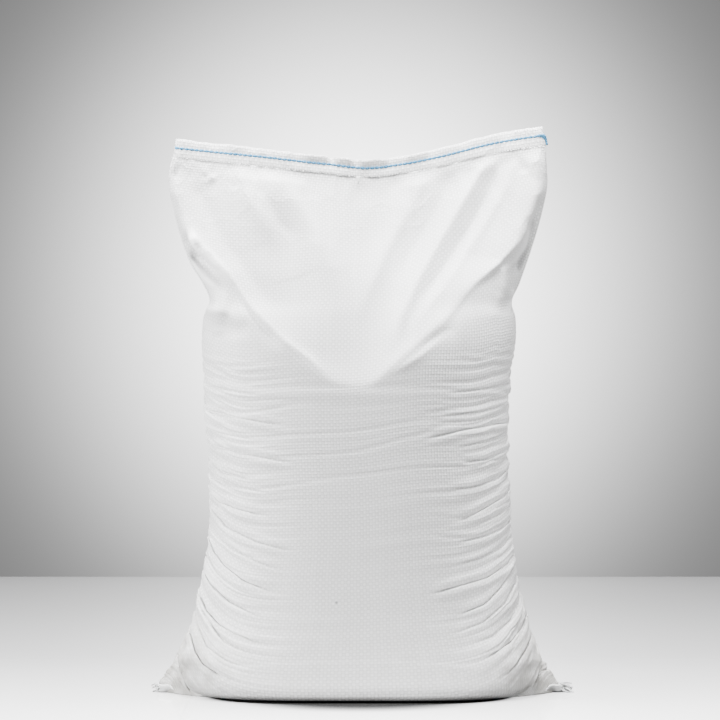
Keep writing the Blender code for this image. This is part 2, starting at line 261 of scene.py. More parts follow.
# The deeper creases of the body, from a side crease inwards: depth in steps of about a millimetre, then points
# as above
LEFT_CREASES = (
    (1, (-0.183, 0.370), (-0.160, 0.365), (-0.116, 0.358)),
    (2, (-0.181, 0.339), (-0.148, 0.333), (-0.090, 0.323)),
    (1, (-0.182, 0.318), (-0.154, 0.311), (-0.124, 0.306)),
    (2, (-0.180, 0.300), (-0.144, 0.292), (-0.079, 0.279)),
    (2, (-0.179, 0.279), (-0.164, 0.268), (-0.130, 0.259)),
    (1, (-0.177, 0.259), (-0.151, 0.251), (-0.106, 0.244)),
    (3, (-0.177, 0.240), (-0.166, 0.232), (-0.144, 0.225), (-0.112, 0.217)),
    (2, (-0.177, 0.223), (-0.158, 0.203), (-0.121, 0.187), (-0.076, 0.176)),
    (1, (-0.179, 0.203), (-0.160, 0.185), (-0.124, 0.165), (-0.085, 0.152)),
    (3, (-0.179, 0.186), (-0.173, 0.173), (-0.160, 0.158), (-0.135, 0.141), (-0.097, 0.127)),
    (1, (-0.182, 0.166), (-0.168, 0.147), (-0.147, 0.132), (-0.120, 0.122)),
    (2, (-0.184, 0.146), (-0.174, 0.132), (-0.154, 0.116), (-0.115, 0.098)),
    (3, (-0.191, 0.118), (-0.182, 0.104), (-0.166, 0.090), (-0.145, 0.080), (-0.112, 0.068)),
    (1, (-0.186, 0.102), (-0.169, 0.080), (-0.147, 0.069)),
    (3, (-0.202, 0.073), (-0.195, 0.056), (-0.184, 0.043), (-0.158, 0.028)),
    (1, (-0.192, 0.084), (-0.180, 0.063), (-0.156, 0.048), (-0.135, 0.041)),
    (4, (-0.2165, 0.048), (-0.2110, 0.022), (-0.2030, 0.007), (-0.1900, 0.0015)),
)
RIGHT_CREASES = (
    (1, (0.177, 0.371), (0.142, 0.365), (0.106, 0.361)),
    (1, (0.175, 0.347), (0.142, 0.339), (0.095, 0.334)),
    (2, (0.175, 0.325), (0.142, 0.321), (0.122, 0.318), (0.076, 0.307)),
    (1, (0.175, 0.311), (0.142, 0.303), (0.112, 0.296)),
    (2, (0.175, 0.293), (0.149, 0.283), (0.121, 0.279)),
    (2, (0.175, 0.270), (0.163, 0.259), (0.130, 0.250), (0.106, 0.248)),
    (3, (0.176, 0.244), (0.168, 0.236), (0.149, 0.227), (0.116, 0.210)),
    (1, (0.177, 0.225), (0.163, 0.216), (0.137, 0.206)),
    (2, (0.179, 0.208), (0.166, 0.199), (0.149, 0.193), (0.116, 0.186)),
    (1, (0.180, 0.188), (0.166, 0.177), (0.137, 0.166), (0.106, 0.158)),
    (3, (0.181, 0.167), (0.173, 0.158), (0.149, 0.144), (0.124, 0.138), (0.079, 0.126)),
    (2, (0.182, 0.153), (0.166, 0.131), (0.145, 0.113), (0.109, 0.100)),
    (1, (0.184, 0.133), (0.171, 0.113), (0.145, 0.093), (0.104, 0.079)),
    (1, (0.190, 0.114), (0.179, 0.093), (0.156, 0.076), (0.130, 0.068)),
    (3, (0.197, 0.093), (0.189, 0.080), (0.177, 0.068), (0.145, 0.050)),
    (2, (0.203, 0.069), (0.196, 0.058), (0.182, 0.041), (0.166, 0.028)),
    (4, (0.2155, 0.034), (0.2080, 0.022), (0.1980, 0.008), (0.1850, 0.0015)),
)
CREASE_WIDTH = 0.0045  # of the shallow valleys that the settling starts from
CREASE_PRESS, PRESS_WIDTH = 0.0009, 0.0011  # for one step of depth, the sharp line pressed into each of them
FAINT_PRESS = 0.0009  # depth of the faint sharp lines between them
HIGHLIGHT_LIP = 0.0024  # a crease's lip that stands out this far gets the full painted highlight
SPECK = (-0.0274, -0.1298, 0.1177)  # a dark speck on the front of the belly

# The turned-over mouth: height over its raw edge, and how far its face stands off the middle plane
HEM_PROFILE = (
    (0.0000, 0.0012),
    (0.0001, 0.0014),
    (0.0010, 0.0016),
    (0.0035, 0.0020),
    (0.0065, 0.0021),
    (0.0090, 0.0020),
    (0.0110, 0.0015),
    (0.0130, 0.0019),
    (0.0155, 0.0021),
    (0.0185, 0.0020),
    (0.0205, 0.0016),
    (0.0215, 0.0010),
    (HEM, 0.0),
)
# Where the fold leans to the front, and where the raw edge lifts: from X to X, and how far
LEANS = (
    (-0.157, -0.139, 0.0030),
    (-0.066, -0.040, 0.0062),
    (-0.029, -0.008, 0.0070),
    (0.001, 0.033, 0.0070),
    (0.058, 0.082, 0.0055),
    (0.150, 0.170, 0.0020),
)
LIFTS = (
    (-0.082, -0.006, 0.0014),
    (0.010, 0.044, 0.0012),
    (0.120, 0.150, 0.0006),
    (0.176, 0.195, 0.0010),
    (-0.200, -0.170, 0.0006),
)
HEM_BACK = 0.0014  # how far the back's face of the hem stands off at most
HEM_TILT = 0.0065  # how far the fold stands behind the raw edge
PLEAT = -0.035  # X of the pleat in the mouth's fold

# The cloth before it was filled, and the grid that it is settled on
GIRTH = 4 * EAR_REACH
CLOTH_LENGTH = 0.800 - HEM  # from the bottom fold to the raw edge of the turned-over mouth
TAPE = GIRTH / 284  # one tape of the weave, with its share of the gap beside it
COLUMNS = 128  # of the grid, across one panel
ROWS = 352  # of the grid, up the cloth below the hem
SAMPLES = 601  # points on a level line before it is divided into columns
LEVELS = 240  # level lines of the form
BODY_ROWS = (10, 236)  # rows of the grid between which it is doubled for the sharp creases
# The columns of the front and of the back, which has the same folds mirrored and weaker, and its creases a little
# lower: columns, side, strength, drop
PANELS = (
    (slice(0, COLUMNS + 1), 1, 1.0, 0.0),
    (slice(COLUMNS + 1, None), -1, 0.8, 0.006),
)

# How the cloth settles
SPARE = (0.036, 0.005, 0.002)  # spare cloth as a share of its length: at the sides, in the band, and everywhere
BAND = ((0.20, 0.30), (0.365, 0.38))  # heights between which the band begins, and between which it ends
BODY_TOP = (0.37, 0.44)  # heights between which the sides' spare cloth falls to a quarter
SLACK = (0.40, 0.47)  # heights between which the cloth becomes slack
HOLD = (0.006, 0.03, 0.01)  # how firmly it is held: everywhere, more where it is slack, and more in the middle
SINK = (0.0008, 0.001, 0.003)  # how far it may sink: everywhere, more at the sides, and more where it is slack
COARSE_STIFFNESS, COARSE_STEPS = 0.15, 160  # on every second row and column
FINE_STIFFNESS, FINE_STEPS = 0.25, 90  # on all of them

# The stage
ROOM = (3.0, -5.5, 3.0)  # half of its width, its front end and its height
WALL = 2.02  # Y of the backdrop, where the photo's floor ends
POOL = (0.53, 0.394, 0.402)  # light on the wall: the height of its middle, and its reach aside and upwards
WALL_GLOW, WALL_REST = 6.8, 0.03  # its strength, and the share of it that the rest of the wall has
ROOM_LIGHT, ROOM_SHADE = 0.9, 0.02  # the room round the stage, as it is seen and as it lights the sack
# Name, place and power of each
SQUARE_LAMPS = (
    ("top_softbox", (0.0, 0.12, 2.4), 215),
    ("front_softbox", (0.0, -1.0, 2.3), 135),
    ("left_softbox", (-2.6, -0.5, 0.7), 225),
    ("right_softbox", (2.4, -0.1, 1.1), 70),
)
LAMP_SIZE = 1.2
AIM = (0, 0, 0.4)  # what the lamps face
# Half sizes of the painted shadow under the sack and of the soft painted shade round it
FOOT_DARK, FOOT_SHADE = (0.190, 0.146), (0.165, 0.200)

# Cloth colours: gaps and painted weave shade, painted crease-lip highlight, dust and painted shade, and the speck
GAP_AND_SHADE, HIGHLIGHT_WHITE, DUST_AND_SHADE, DARK = (0.10, 0.10, 0.11, 1), (0.97, 0.97, 0.97, 1), (0.34, 0.33, 0.31, 1), (0.05, 0.05, 0.05, 1)
BARE_TAPE = ((0.62, 0.63, 0.63, 1), (0.86, 0.87, 0.87, 1))
PLIES = 2  # of the thread
WHITE = (1, 1, 1, 1)


def smooth_curve(at, points, column=1):
    """A smooth curve through the points, read at one place or many; column picks the value."""
    knots = np.array([p[0] for p in points])
    values = np.array([p[column] for p in points])
    slopes = np.gradient(values, knots)
    at = np.clip(at, knots[0], knots[-1])
    i = np.clip(np.searchsorted(knots, at) - 1, 0, len(knots) - 2)
    step = knots[i + 1] - knots[i]
    t = (at - knots[i]) / step
    return (
        (2 * t**3 - 3 * t**2 + 1) * values[i]
        + (t**3 - 2 * t**2 + t) * step * slopes[i]
        + (3 * t**2 - 2 * t**3) * values[i + 1]
        + (t**3 - t**2) * step * slopes[i + 1]
    )


def ease(value, low, high):
    """0 below low, 1 above high, and a smooth step between."""
    t = np.clip((value - low) / (high - low), 0, 1)
    return t * t * (3 - 2 * t)


def smooth_least(value, limit, softness):
    """The smaller of two depths, with a soft turn where they meet."""
    return (value + limit - np.sqrt((value - limit) ** 2 + softness**2)) / 2


def height_at(level, x):
    """Above the brow the rows of the cloth follow the mouth's sagging fold."""
    share = np.clip((level - BROW) / (MOUTH_MIDDLE - BROW), 0, 1)
    return np.where(level > BROW, BROW + share * (smooth_curve(x, MOUTH) - BROW), level)


def mouth_wave(x):
    """How far the mouth stands in front of or behind its mean line."""
    return sum(size * np.sin(2 * np.pi * (x - place) / length) for size, length, place in MOUTH_WAVES)


def middle_plane(level, x):
    """Y of the sheet that halves the sack, from the seam under the base to the wavy mouth."""
    hem = np.clip((level - SLOPE_END) / HEM, 0, 1)
    return ease(level, BROW, SLOPE_END) * (LEAN + mouth_wave(x)) + hem * HEM_LEAN


def face_outline(x, side, level, height, depth, columns):
    """Distance of a face from the middle plane, at each x of one row."""
    reach = np.abs(x) / side
    if level >= SLOPE_END:
        return depth * (1 - ease(reach, RIM, 1.0))
    ears = 1 - ease(level, EAR_START, EAR_TOP)
    foot = side + ears * np.minimum(smooth_curve(level, FEET) - side, 0)
    flatness = BODY_FLATNESS + (FOOT_FLATNESS - BODY_FLATNESS) * (1 - ease(level, 0.0, FOOT_TOP))
    body = depth * (1 - (np.abs(x) / foot).clip(0, 1) ** flatness) ** (1 / BODY_ROUNDNESS)
    ear = np.minimum(ears * EAR_SLOPE * (side - np.abs(x)), EAR_FULLNESS * depth)
    tucked = ease(np.abs(x), *HEM_TURN) * (1 - ease(level, *EAR_FLAT))
    ear = ear * (1 - 0.6 * tucked)
    body = (body**6 + ear.clip(0) ** 6) ** (1 / 6)
    ridge = np.where(x < 0, *[smooth_curve(height, RIDGES, column) for column in columns])
    ridge = np.minimum(ridge, RIM * side)
    round_side = 1 / BODY_ROUNDNESS
    power = round_side + ease(level, *CHEEK_TURN) * (SHARP_SIDE - round_side)
    full = 1 - (ridge / side) ** BODY_FLATNESS
    crest = smooth_curve(level, CHEEKS) * full**round_side
    crest = depth + (1 - ease(level, *CHEEK_END)) * (crest - depth).clip(0)
    cheek = crest * ((1 - reach**BODY_FLATNESS) / full).clip(0) ** power
    hollow = depth + (crest - depth) * (x / ridge) ** 2
    upper = 0.35 * depth * ease(level, 0.50, 0.56)
    facet = smooth_least(cheek, hollow, RIDGE_SOFTNESS * (crest - depth) + upper + 0.0001)
    return body + ease(level, *BROW_TURN) * (facet - body)


def panel_line(level, front):
    """One level line of the front or back panel, from the right crease to the left, evenly divided."""
    turn = np.linspace(np.pi / 2, -np.pi / 2, SAMPLES)
    ends = [height_at(level, x) for x in (-MOUTH_SPAN, MOUTH_SPAN)]
    left, right = smooth_curve(ends[0], SIDES, 1), smooth_curve(ends[1], SIDES, 2)
    side = np.where(turn > 0, right, left)
    x = side * np.sin(turn)
    height = height_at(level, x)
    depth = smooth_curve(level, DEPTHS, 1 if front else 2)
    outline = face_outline(x, side, level, height, depth, (1, 2) if front else (2, 1))
    y = middle_plane(level, x) + (-outline if front else outline)
    return evenly(np.stack([x, y, height], axis=1), COLUMNS)


def evenly(line, count):
    """The line again, with count equal steps along it."""
    steps = np.linalg.norm(np.diff(line, axis=0), axis=1)
    along = np.concatenate([[0], np.cumsum(steps)])
    at = np.linspace(0, along[-1], count + 1)
    return np.stack([np.interp(at, along, line[:, axis]) for axis in range(3)], axis=1)


def panel_form(front):
    """The form of one panel on the cloth's own grid: rows of equal cloth length from the bottom fold, columns of
    equal cloth width. Where the form is shorter than the cloth, the rows crowd, mostly low down at the sides."""
    levels = np.concatenate([np.linspace(0, 0.03, 24, endpoint=False), np.linspace(0.03, SLOPE_END, LEVELS)])
    table = np.stack([panel_line(level, front) for level in levels])
    foot = table[0]
    seam = np.zeros_like(foot)
    seam[:, 0] = np.linspace(EAR_REACH, -EAR_REACH, COLUMNS + 1)
    under = np.linalg.norm(foot - seam, axis=1)
    steps = np.linalg.norm(np.diff(table, axis=0), axis=2)
    height = (levels[1:] + levels[:-1]) / 2
    takes = (0.05 + 0.95 * (1 - ease(height, 0.06, 0.38)))[:, None]
    spare = (CLOTH_LENGTH - under - steps.sum(axis=0)) / (steps * takes).sum(axis=0)
    near = np.exp(-((np.arange(-24, 25) / 12) ** 2))
    spare = np.convolve(np.pad(spare, 24, mode="edge"), near / near.sum(), mode="valid")
    left = CLOTH_LENGTH - under - (steps * (1 + takes * spare)).sum(axis=0)
    upper = ease(height, 0.37, 0.43)[:, None]
    stretch = 1 + takes * spare + upper * left / (steps * upper).sum(axis=0)
    cloth = np.concatenate([under[None], under + np.cumsum(steps * stretch, axis=0)])
    rows = np.linspace(0, CLOTH_LENGTH, ROWS + 1)
    form = np.empty((ROWS + 1, COLUMNS + 1, 3))
    for column in range(COLUMNS + 1):
        for axis in range(3):
            risen = np.interp(rows, cloth[:, column], table[:, column, axis])
            share = np.clip(rows / max(under[column], 1e-6), 0, 1)
            flat = seam[column, axis] + share * (foot[column, axis] - seam[column, axis])
            form[:, column, axis] = np.where(rows < under[column], flat, risen)
    return form


def both_panels(make):
    """The front panel's grid and the back's, joined into one ring from the right crease round to it again."""
    front, back = make(True), make(False)
    return np.concatenate([front, back[:, -2:0:-1]], axis=1)


def off_line(x, height, points):
    """For points of a panel: distance from a bent line, positive above it, and the place along it from 0 to 1."""
    points = np.array(points)
    lengths = np.linalg.norm(np.diff(points, axis=0), axis=1)
    nearest = np.full(x.shape, 1e9)
    above = np.ones(x.shape)
    place = np.zeros(x.shape)
    onward = 1 if points[-1, 0] >= points[0, 0] else -1
    run = 0.0
    for start, end, length in zip(points[:-1], points[1:], lengths):
        along = ((x - start[0]) * (end[0] - start[0]) + (height - start[1]) * (end[1] - start[1])) / length**2
        t = along.clip(0, 1)
        dx, dz = x - start[0] - t * (end[0] - start[0]), height - start[1] - t * (end[1] - start[1])
        distance = np.hypot(dx, dz)
        closer = distance < nearest
        nearest = np.where(closer, distance, nearest)
        side = (end[0] - start[0]) * dz - (end[1] - start[1]) * dx
        above = np.where(closer, np.sign(side) * onward, above)
        place = np.where(closer, (run + t * length) / lengths.sum(), place)
        run += length
    return nearest * above, place


def crest_of(off):
    """The outline of a stretched fold across its line: a narrow crest and hollow flanks."""
    return np.exp(0.5 - 1.5 * np.sqrt(off**2 + 1 / 9))


def draped(form, normal, rim):
    """The form with the broad folds of its slack cloth. The back has them mirrored and a little weaker."""
    out = np.zeros(form.shape[:2])
    for part, mirror, strength, _ in PANELS:
        x, height = form[:, part, 0] * mirror, form[:, part, 2]
        for size, below, above, *points in DRAPES:
            off, place = off_line(x, height, points)
            taper = 1 - ease(place, 0.6 if below > SHARP_FOLD else 0.8, 1.0)
            out[:, part] += strength * size * taper * crest_of(off / np.where(off > 0, above, below))
    folded = form + normal * (out * rim)[..., None]
    for part, mirror, strength, _ in PANELS:
        x, height = form[:, part, 0] * mirror, form[:, part, 2]
        room = ease(np.abs(form[:, part, 1] - LEAN), 0.006, 0.030)
        for size, width, *points in CHEEK_FOLDS:
            off, place = off_line(x, height, points)
            reach = room * (1 - 0.8 * ease(place, 0.6, 1.0))
            folded[:, part, 1] -= mirror * strength * size * reach * np.exp(-((off / width) ** 2))
    return folded


def crease_seed(form):
    """The start of the body's deeper creases, for the settling to build on."""
    out = np.zeros(form.shape[:2])
    for part, mirror, _, drop in PANELS:
        x, height = form[:, part, 0] * mirror, form[:, part, 2] + drop
        for deep, *points in LEFT_CREASES + RIGHT_CREASES:
            off, place = off_line(x, height, points)
            off = off / (CREASE_WIDTH * (0.8 + 0.2 * deep))
            bulges = np.exp(-(((off - 1) / 0.7) ** 2)) + np.exp(-(((off + 1) / 0.7) ** 2))
            fading = 1 - ease(place, 0.65, 1.0)
            out[:, part] += deep * 0.001 * fading * (0.8 * bulges - np.exp(-((off / 0.45) ** 2)))
    return out


def normals_of(places):
    """Outward normals of the wrapped grid of the cloth."""
    across = np.roll(places, -1, axis=1) - np.roll(places, 1, axis=1)
    up = np.empty_like(places)
    up[1:-1] = places[2:] - places[:-2]
    up[0], up[-1] = places[1] - places[0], places[-1] - places[-2]
    normal = np.cross(up, across)
    return normal / np.maximum(np.linalg.norm(normal, axis=2, keepdims=True), 1e-9)


def blurred(values, spread_up, spread_across):
    """Smooth noise of unit size: the values blurred by the given numbers of rows and columns."""
    rows, around = values.shape
    up = np.fft.fftfreq(2 * rows)[:, None]
    across = np.fft.rfftfreq(around)[None, :]
    keep = np.exp(-2 * np.pi**2 * ((up * spread_up) ** 2 + (across * spread_across) ** 2))
    mirrored = np.concatenate([values, values[::-1]])
    smooth = np.fft.irfft2(np.fft.rfft2(mirrored) * keep, s=mirrored.shape)[:rows]
    return smooth / smooth.std()


def pull(first, second, rest, strength, loose_first, loose_second):
    """Moves two sets of points towards the distance that the cloth keeps between them."""
    gap = second - first
    length = np.sqrt(np.einsum("ijk,ijk->ij", gap, gap))
    share = strength * (length - rest) / np.maximum(length, 1e-9) / np.maximum(loose_first + loose_second, 1e-6)
    gap *= share[..., None]
    first += gap * loose_first[..., None]
    second -= gap * loose_second[..., None]


def distances(first, second):
    """The distance of each point from its partner."""
    return np.linalg.norm(second - first, axis=2)


def settled(start, goal, loose, spare, hold, inward, stiffness, steps):
    """The cloth after it has found its own length over the grain, from the places that it starts with.

    Each stretch of the cloth is longer than the goal by its share of spare. loose is 0 where the cloth is held
    fast, hold is how strongly a point is kept near its goal, and inward is how far it may sink below it, which is
    almost nothing where the grain stands behind the cloth.
    """
    ring = np.concatenate([start, start[:, :1]], axis=1)
    aim = np.concatenate([goal, goal[:, :1]], axis=1)
    free = np.concatenate([loose, loose[:, :1]], axis=1)
    slack = np.concatenate([spare, spare[:, :1]], axis=1)
    up = distances(aim[:-1], aim[1:]) * (1 + (slack[:-1] + slack[1:]) / 2)
    two_up = distances(aim[:-2], aim[2:]) * (1 + slack[1:-1])
    across = distances(aim[:, :-1], aim[:, 1:]) * 1.001
    slack_here = 1 + (slack[:-1, :-1] + slack[1:, 1:]) / 4
    rising = distances(aim[:-1, :-1], aim[1:, 1:]) * slack_here
    falling = distances(aim[1:, :-1], aim[:-1, 1:]) * slack_here
    normal = normals_of(goal)
    for step in range(steps):
        for first in (0, 1):
            pull(ring[first:-1:2], ring[first + 1 :: 2], up[first::2], 1.0, free[first:-1:2], free[first + 1 :: 2])
        for first in (0, 1):
            here, there = slice(first, -1, 2), slice(first + 1, None, 2)
            pull(ring[:, here], ring[:, there], across[:, first::2], 1.0, free[:, here], free[:, there])
            closed = (ring[:, 0] + ring[:, -1]) / 2 if first == 0 else ring[:, -1]
            ring[:, 0] = ring[:, -1] = closed
        for row in (0, 1):
            low, high = ring[row:-1:2], ring[row + 1 :: 2]
            free_low, free_high = free[row:-1:2], free[row + 1 :: 2]
            for first in (0, 1):
                here, there = slice(first, -1, 2), slice(first + 1, None, 2)
                up_rest, down_rest = rising[row::2, first::2], falling[row::2, first::2]
                pull(low[:, here], high[:, there], up_rest, 0.3, free_low[:, here], free_high[:, there])
                pull(high[:, here], low[:, there], down_rest, 0.3, free_high[:, here], free_low[:, there])
        ring[:, 0] = ring[:, -1] = (ring[:, 0] + ring[:, -1]) / 2
        for first in range(4):
            low, high = ring[first:-2:4], ring[first + 2 :: 4]
            pull(low, high, two_up[first::4], stiffness, free[first:-2:4], free[first + 2 :: 4])
        off = ring[:, :-1] - goal
        out = np.einsum("ijk,ijk->ij", off, normal)
        kept = np.maximum(out * (1 - hold), -inward)
        off -= out[..., None] * normal
        off *= (1 - hold * 0.5)[..., None]
        ring[:, :-1] += (goal + off + kept[..., None] * normal - ring[:, :-1]) * (loose > 0)[..., None]
        ring[:, -1] = ring[:, 0]
    return ring[:, :-1]


def more_rows(values, first, last):
    """The grid with one more row between each two from the first to the last, smoothly between them."""
    padded = np.concatenate([values[:1], values, values[-1:]])
    between = (9 * (values[:-1] + values[1:]) - padded[:-3] - padded[3:]) / 16
    rows = [values[:first]]
    for row in range(first, last):
        rows.append(np.stack([values[row], between[row]]))
    return np.concatenate(rows + [values[last:]])


def finer(values):
    """A wrapped grid with twice the rows and columns, smoothly between the old ones."""
    up = more_rows(values, 0, len(values) - 1)
    full = np.empty((up.shape[0], 2 * up.shape[1]) + up.shape[2:])
    full[:, ::2] = up
    after, before, beyond = np.roll(up, -1, axis=1), np.roll(up, 1, axis=1), np.roll(up, -2, axis=1)
    full[:, 1::2] = (9 * (up + after) - before - beyond) / 16
    return full


def hem_height(form):
    """The height of the hem's raw edge over every point of the form."""
    return height_at(SLOPE_END, form[:, :, 0])


def settled_cloth():
    """The whole cloth below the hem: first its larger creases on a coarse grid, then the finer ones. Beside every
    point stands how much painted highlight the lips of its creases give it."""
    rng = np.random.default_rng(7)
    form = both_panels(panel_form)
    rows, around = form.shape[:2]
    height = form[:, :, 2]
    column = np.arange(around) % COLUMNS
    near_side = np.abs(1 - 2 * column / COLUMNS)[None, :] * np.ones((rows, 1))
    above_floor = ease(height, 0.003, 0.02)
    below_hem = 1 - ease(np.arange(rows), rows - 12, rows - 2)[:, None]
    goal = draped(form, normals_of(form), (1 - ease(near_side, 0.95, 1.0)) * below_hem)
    calm = 1 - 0.7 * ease(near_side, 0.85, 1.0)
    loose = np.where((height < 1e-4) | (below_hem < 0.01), 0.0, 1.0)
    sides = ease(near_side, 0.20, 0.90)
    body = above_floor * (1 - 0.75 * ease(height, *BODY_TOP))
    band = ease(height, *BAND[0]) * (1 - ease(height, *BAND[1]))
    hanging = ease(height, *SLACK)
    spare = SPARE[0] * sides * body + SPARE[1] * band + SPARE[2]
    hold = HOLD[0] + HOLD[1] * hanging + HOLD[2] * (1 - sides)
    inward = SINK[0] + SINK[1] * sides + SINK[2] * hanging
    seed = crease_seed(form) * above_floor * calm
    lines = blurred(rng.normal(size=(rows, around)), 3.2, 17.0)
    low = 1 - ease(height, 0.36, 0.42)
    fine_lines = -np.exp(-((lines / 0.35) ** 2)) * (0.0013 * sides * body * low + 0.0002 * band * above_floor)
    goal = goal + normals_of(form) * (0.8 * seed + fine_lines)[..., None]
    slack = ease(height, 0.38, 0.45)
    rough = 0.0010 * blurred(rng.normal(size=(rows, around)), 4.5, 12.0) * (0.3 + sides) * loose * (1 - 0.9 * slack)
    near_hem = slack * ease(height, hem_height(form) - 0.045, hem_height(form) - 0.010) * below_hem
    puckers = blurred(rng.normal(size=(rows, around)), 9.0, 1.6)
    goal = goal + normals_of(form) * (0.0011 * near_hem * puckers)[..., None]
    start = goal + normals_of(form) * (0.4 * seed + rough)[..., None]
    coarse = [grid[::2, ::2] for grid in (start, goal, loose, spare, hold, inward)]
    moved = finer(settled(*coarse, COARSE_STIFFNESS, COARSE_STEPS) - coarse[1])
    fine = 0.0003 * blurred(rng.normal(size=(rows, around)), 1.5, 10.0) * loose * (1 - 0.9 * slack)
    start = goal + moved + normals_of(goal) * fine[..., None]
    return pressed(settled(start, goal, loose, spare, hold, inward, FINE_STIFFNESS, FINE_STEPS), rng)


def pressed(cloth, rng):
    """The settled cloth with its sharp creases pressed in, on a grid that has twice the rows over the body."""
    cloth = more_rows(cloth, *BODY_ROWS)
    rows, around = cloth.shape[:2]
    height = cloth[:, :, 2]
    near_side = np.abs(1 - 2 * (np.arange(around) % COLUMNS) / COLUMNS)[None, :]
    body = ease(height, 0.002, 0.012) * (1 - ease(height, 0.37, 0.42))
    out = np.zeros((rows, around))
    for part, mirror, _, drop in PANELS:
        x, z = cloth[:, part, 0] * mirror, height[:, part] + drop
        for deep, *points in LEFT_CREASES + RIGHT_CREASES:
            off, place = off_line(x, z, points)
            out[:, part] += CREASE_PRESS * deep * (1 - ease(place, 0.7, 1.0)) * press_of(off / PRESS_WIDTH)
    for spread in (2.6, 4.5):
        lines = blurred(rng.normal(size=(rows, around)), spread, 24.0)
        faint = blurred(rng.normal(size=(rows, around)), 12.0, 12.0).clip(0, 1.5)
        out += FAINT_PRESS * ease(near_side, 0.20, 0.70) * faint * press_of(lines * spread / 1.3)
    out *= body
    for part, mirror, *_ in PANELS:
        x, z = cloth[:, part, 0] * mirror, height[:, part]
        for depth, width, *points in CHEEK_CREASES:
            off, place = off_line(x, z, points)
            ends = ease(place, 0.0, 0.2) * (1 - ease(place, 0.6, 1.0)) * (1 - ease(near_side[:, part], 0.90, 0.99))
            out[:, part] += depth * ends * press_of(off / width)
        for depth, width, *points in EAR_CREASES:
            off, place = off_line(x, z, points)
            ends = ease(place, 0.0, 0.2) * (1 - ease(place, 0.8, 1.0)) * ease(height[:, part], 0.004, 0.012)
            out[:, part] += depth * ends * press_of(off / width)
    made = cloth + normals_of(cloth) * out[..., None]
    made[:, :, 2] = made[:, :, 2].clip(0)
    # Beside the cloth goes the painted highlight: full on a crease's lip that stands out far enough
    return made, (out / HIGHLIGHT_LIP).clip(0, 1)


def press_of(off):
    """The outline of a sharp crease across its line: a narrow groove between two lips, the upper one a little
    higher."""
    upper = 0.95 * np.exp(-(((off - 2.0) / 1.05) ** 2))
    lower = 0.9 * np.exp(-(((off + 2.0) / 1.1) ** 2))
    return upper + lower - np.exp(-(off**2))


def random_line(rng, step):
    """A smooth random value along X, of about unit size, with a new turn at every step."""
    knots = np.arange(-0.26, 0.26 + step, step)
    values = rng.uniform(-1, 1, size=len(knots))
    return lambda x: smooth_curve(x, np.stack([knots, values], axis=1))


def patch(x, first, last, blend):
    """1 between two places and 0 beyond them, with a blend at each end."""
    return ease(x, first - blend / 2, first + blend / 2) * (1 - ease(x, last - blend / 2, last + blend / 2))


def hem_shape():
    """How the turned-over mouth stands off, leans and sags along its length, as three curves over X."""
    rng = np.random.default_rng(23)
    return random_line(rng, 0.019), random_line(rng, 0.026), random_line(rng, 0.007)


def hem_offset(rise, x, front):
    """How far the hem's face stands off the sack's middle plane, at one height over its raw edge."""
    stand, _, pucker = hem_shape()
    rises = [place for place, _ in HEM_PROFILE]
    offs = [size for _, size in HEM_PROFILE]
    off = np.interp(rise, rises, offs)
    if not front:
        return min(off, HEM_BACK) + 0 * x
    below = 1 - ease(rise, 0.001, SEAM_RISE)
    lifted = sum(size * patch(x, first, last, 0.006) for first, last, size in LIFTS)
    return off + below * (0.00015 * (1 + stand(x)) + 0.0004 * pucker(x).clip(0) + lifted)


def hem_shift(rise, x):
    """How far the whole hem leans to the front or back, more towards its fold."""
    _, lean, pucker = hem_shape()
    above = ease(rise, SEAM_RISE - 0.004, HEM + 0.004)
    forward = sum(size * patch(x, first, last, 0.004) for first, last, size in LEANS)
    return HEM_TILT * rise / HEM + 0.0007 * pucker(x) + above * (0.0008 * lean(x) + 0.0008 * pucker(x) - forward)


def hem_sag(rise, x):
    """How far the hem sags where it leans, and in the notch of its pleat."""
    _, lean, pucker = hem_shape()
    above = ease(rise, SEAM_RISE, HEM)
    pleat = np.exp(-(((x - PLEAT) / 0.003) ** 2))
    return above * (0.0005 * (1 - lean(x)) + 0.0005 * (1 + pucker(x)) + 0.0025 * pleat)


def hem_line(rise, front, out=0.0):
    """A line along the hem's face from right to left, at one height over its raw edge; out lifts it off the face."""
    line = panel_line(min(SLOPE_END + rise, MOUTH_MIDDLE), front)
    x = line[:, 0]
    off = (hem_offset(rise, x, front) + out) * (1 - ease(np.abs(x) / np.abs(x).max(), 0.97, 1.0))
    line[:, 1] = middle_plane(SLOPE_END, x) + hem_shift(rise, x) + (-off if front else off)
    line[:, 2] -= hem_sag(rise, x)
    return line


def hem_rows():
    """The turned-over mouth, from its raw edge up to its fold, as rings like those of the settled cloth."""
    rings = []
    for rise, _ in HEM_PROFILE:
        rings.append(np.concatenate([hem_line(rise, True), hem_line(rise, False)[-2:0:-1]]))
    return np.stack(rings)


def cloth_mesh(name, places, lip_highlight, up):
    """The cloth's grid wrapped round and welded where it meets itself, with cloth coordinates in metres as UVs."""
    rows, around = places.shape[:2]
    bm, uv = blank()
    # This layer carries the painted highlight on the crease lips
    pale = bm.verts.layers.float.new("lip_highlight")
    bmesh.ops.create_grid(bm, x_segments=around, y_segments=rows - 1, size=1)
    bm.verts.index_update()
    for face in bm.faces:
        for loop in face.loops:
            row, column = divmod(loop.vert.index, around + 1)
            loop[uv].uv = (column * GIRTH / around, up[row])
    for index, vert in enumerate(bm.verts):
        row, column = divmod(index, around + 1)
        vert.co = places[row, column % around]
        vert[pale] = lip_highlight[row, column % around]
    bmesh.ops.remove_doubles(bm, verts=bm.verts, dist=1e-5)
    bmesh.ops.dissolve_degenerate(bm, edges=bm.edges, dist=1e-5)
    bmesh.ops.recalc_face_normals(bm, faces=bm.faces)
    return meshed(name, bm)


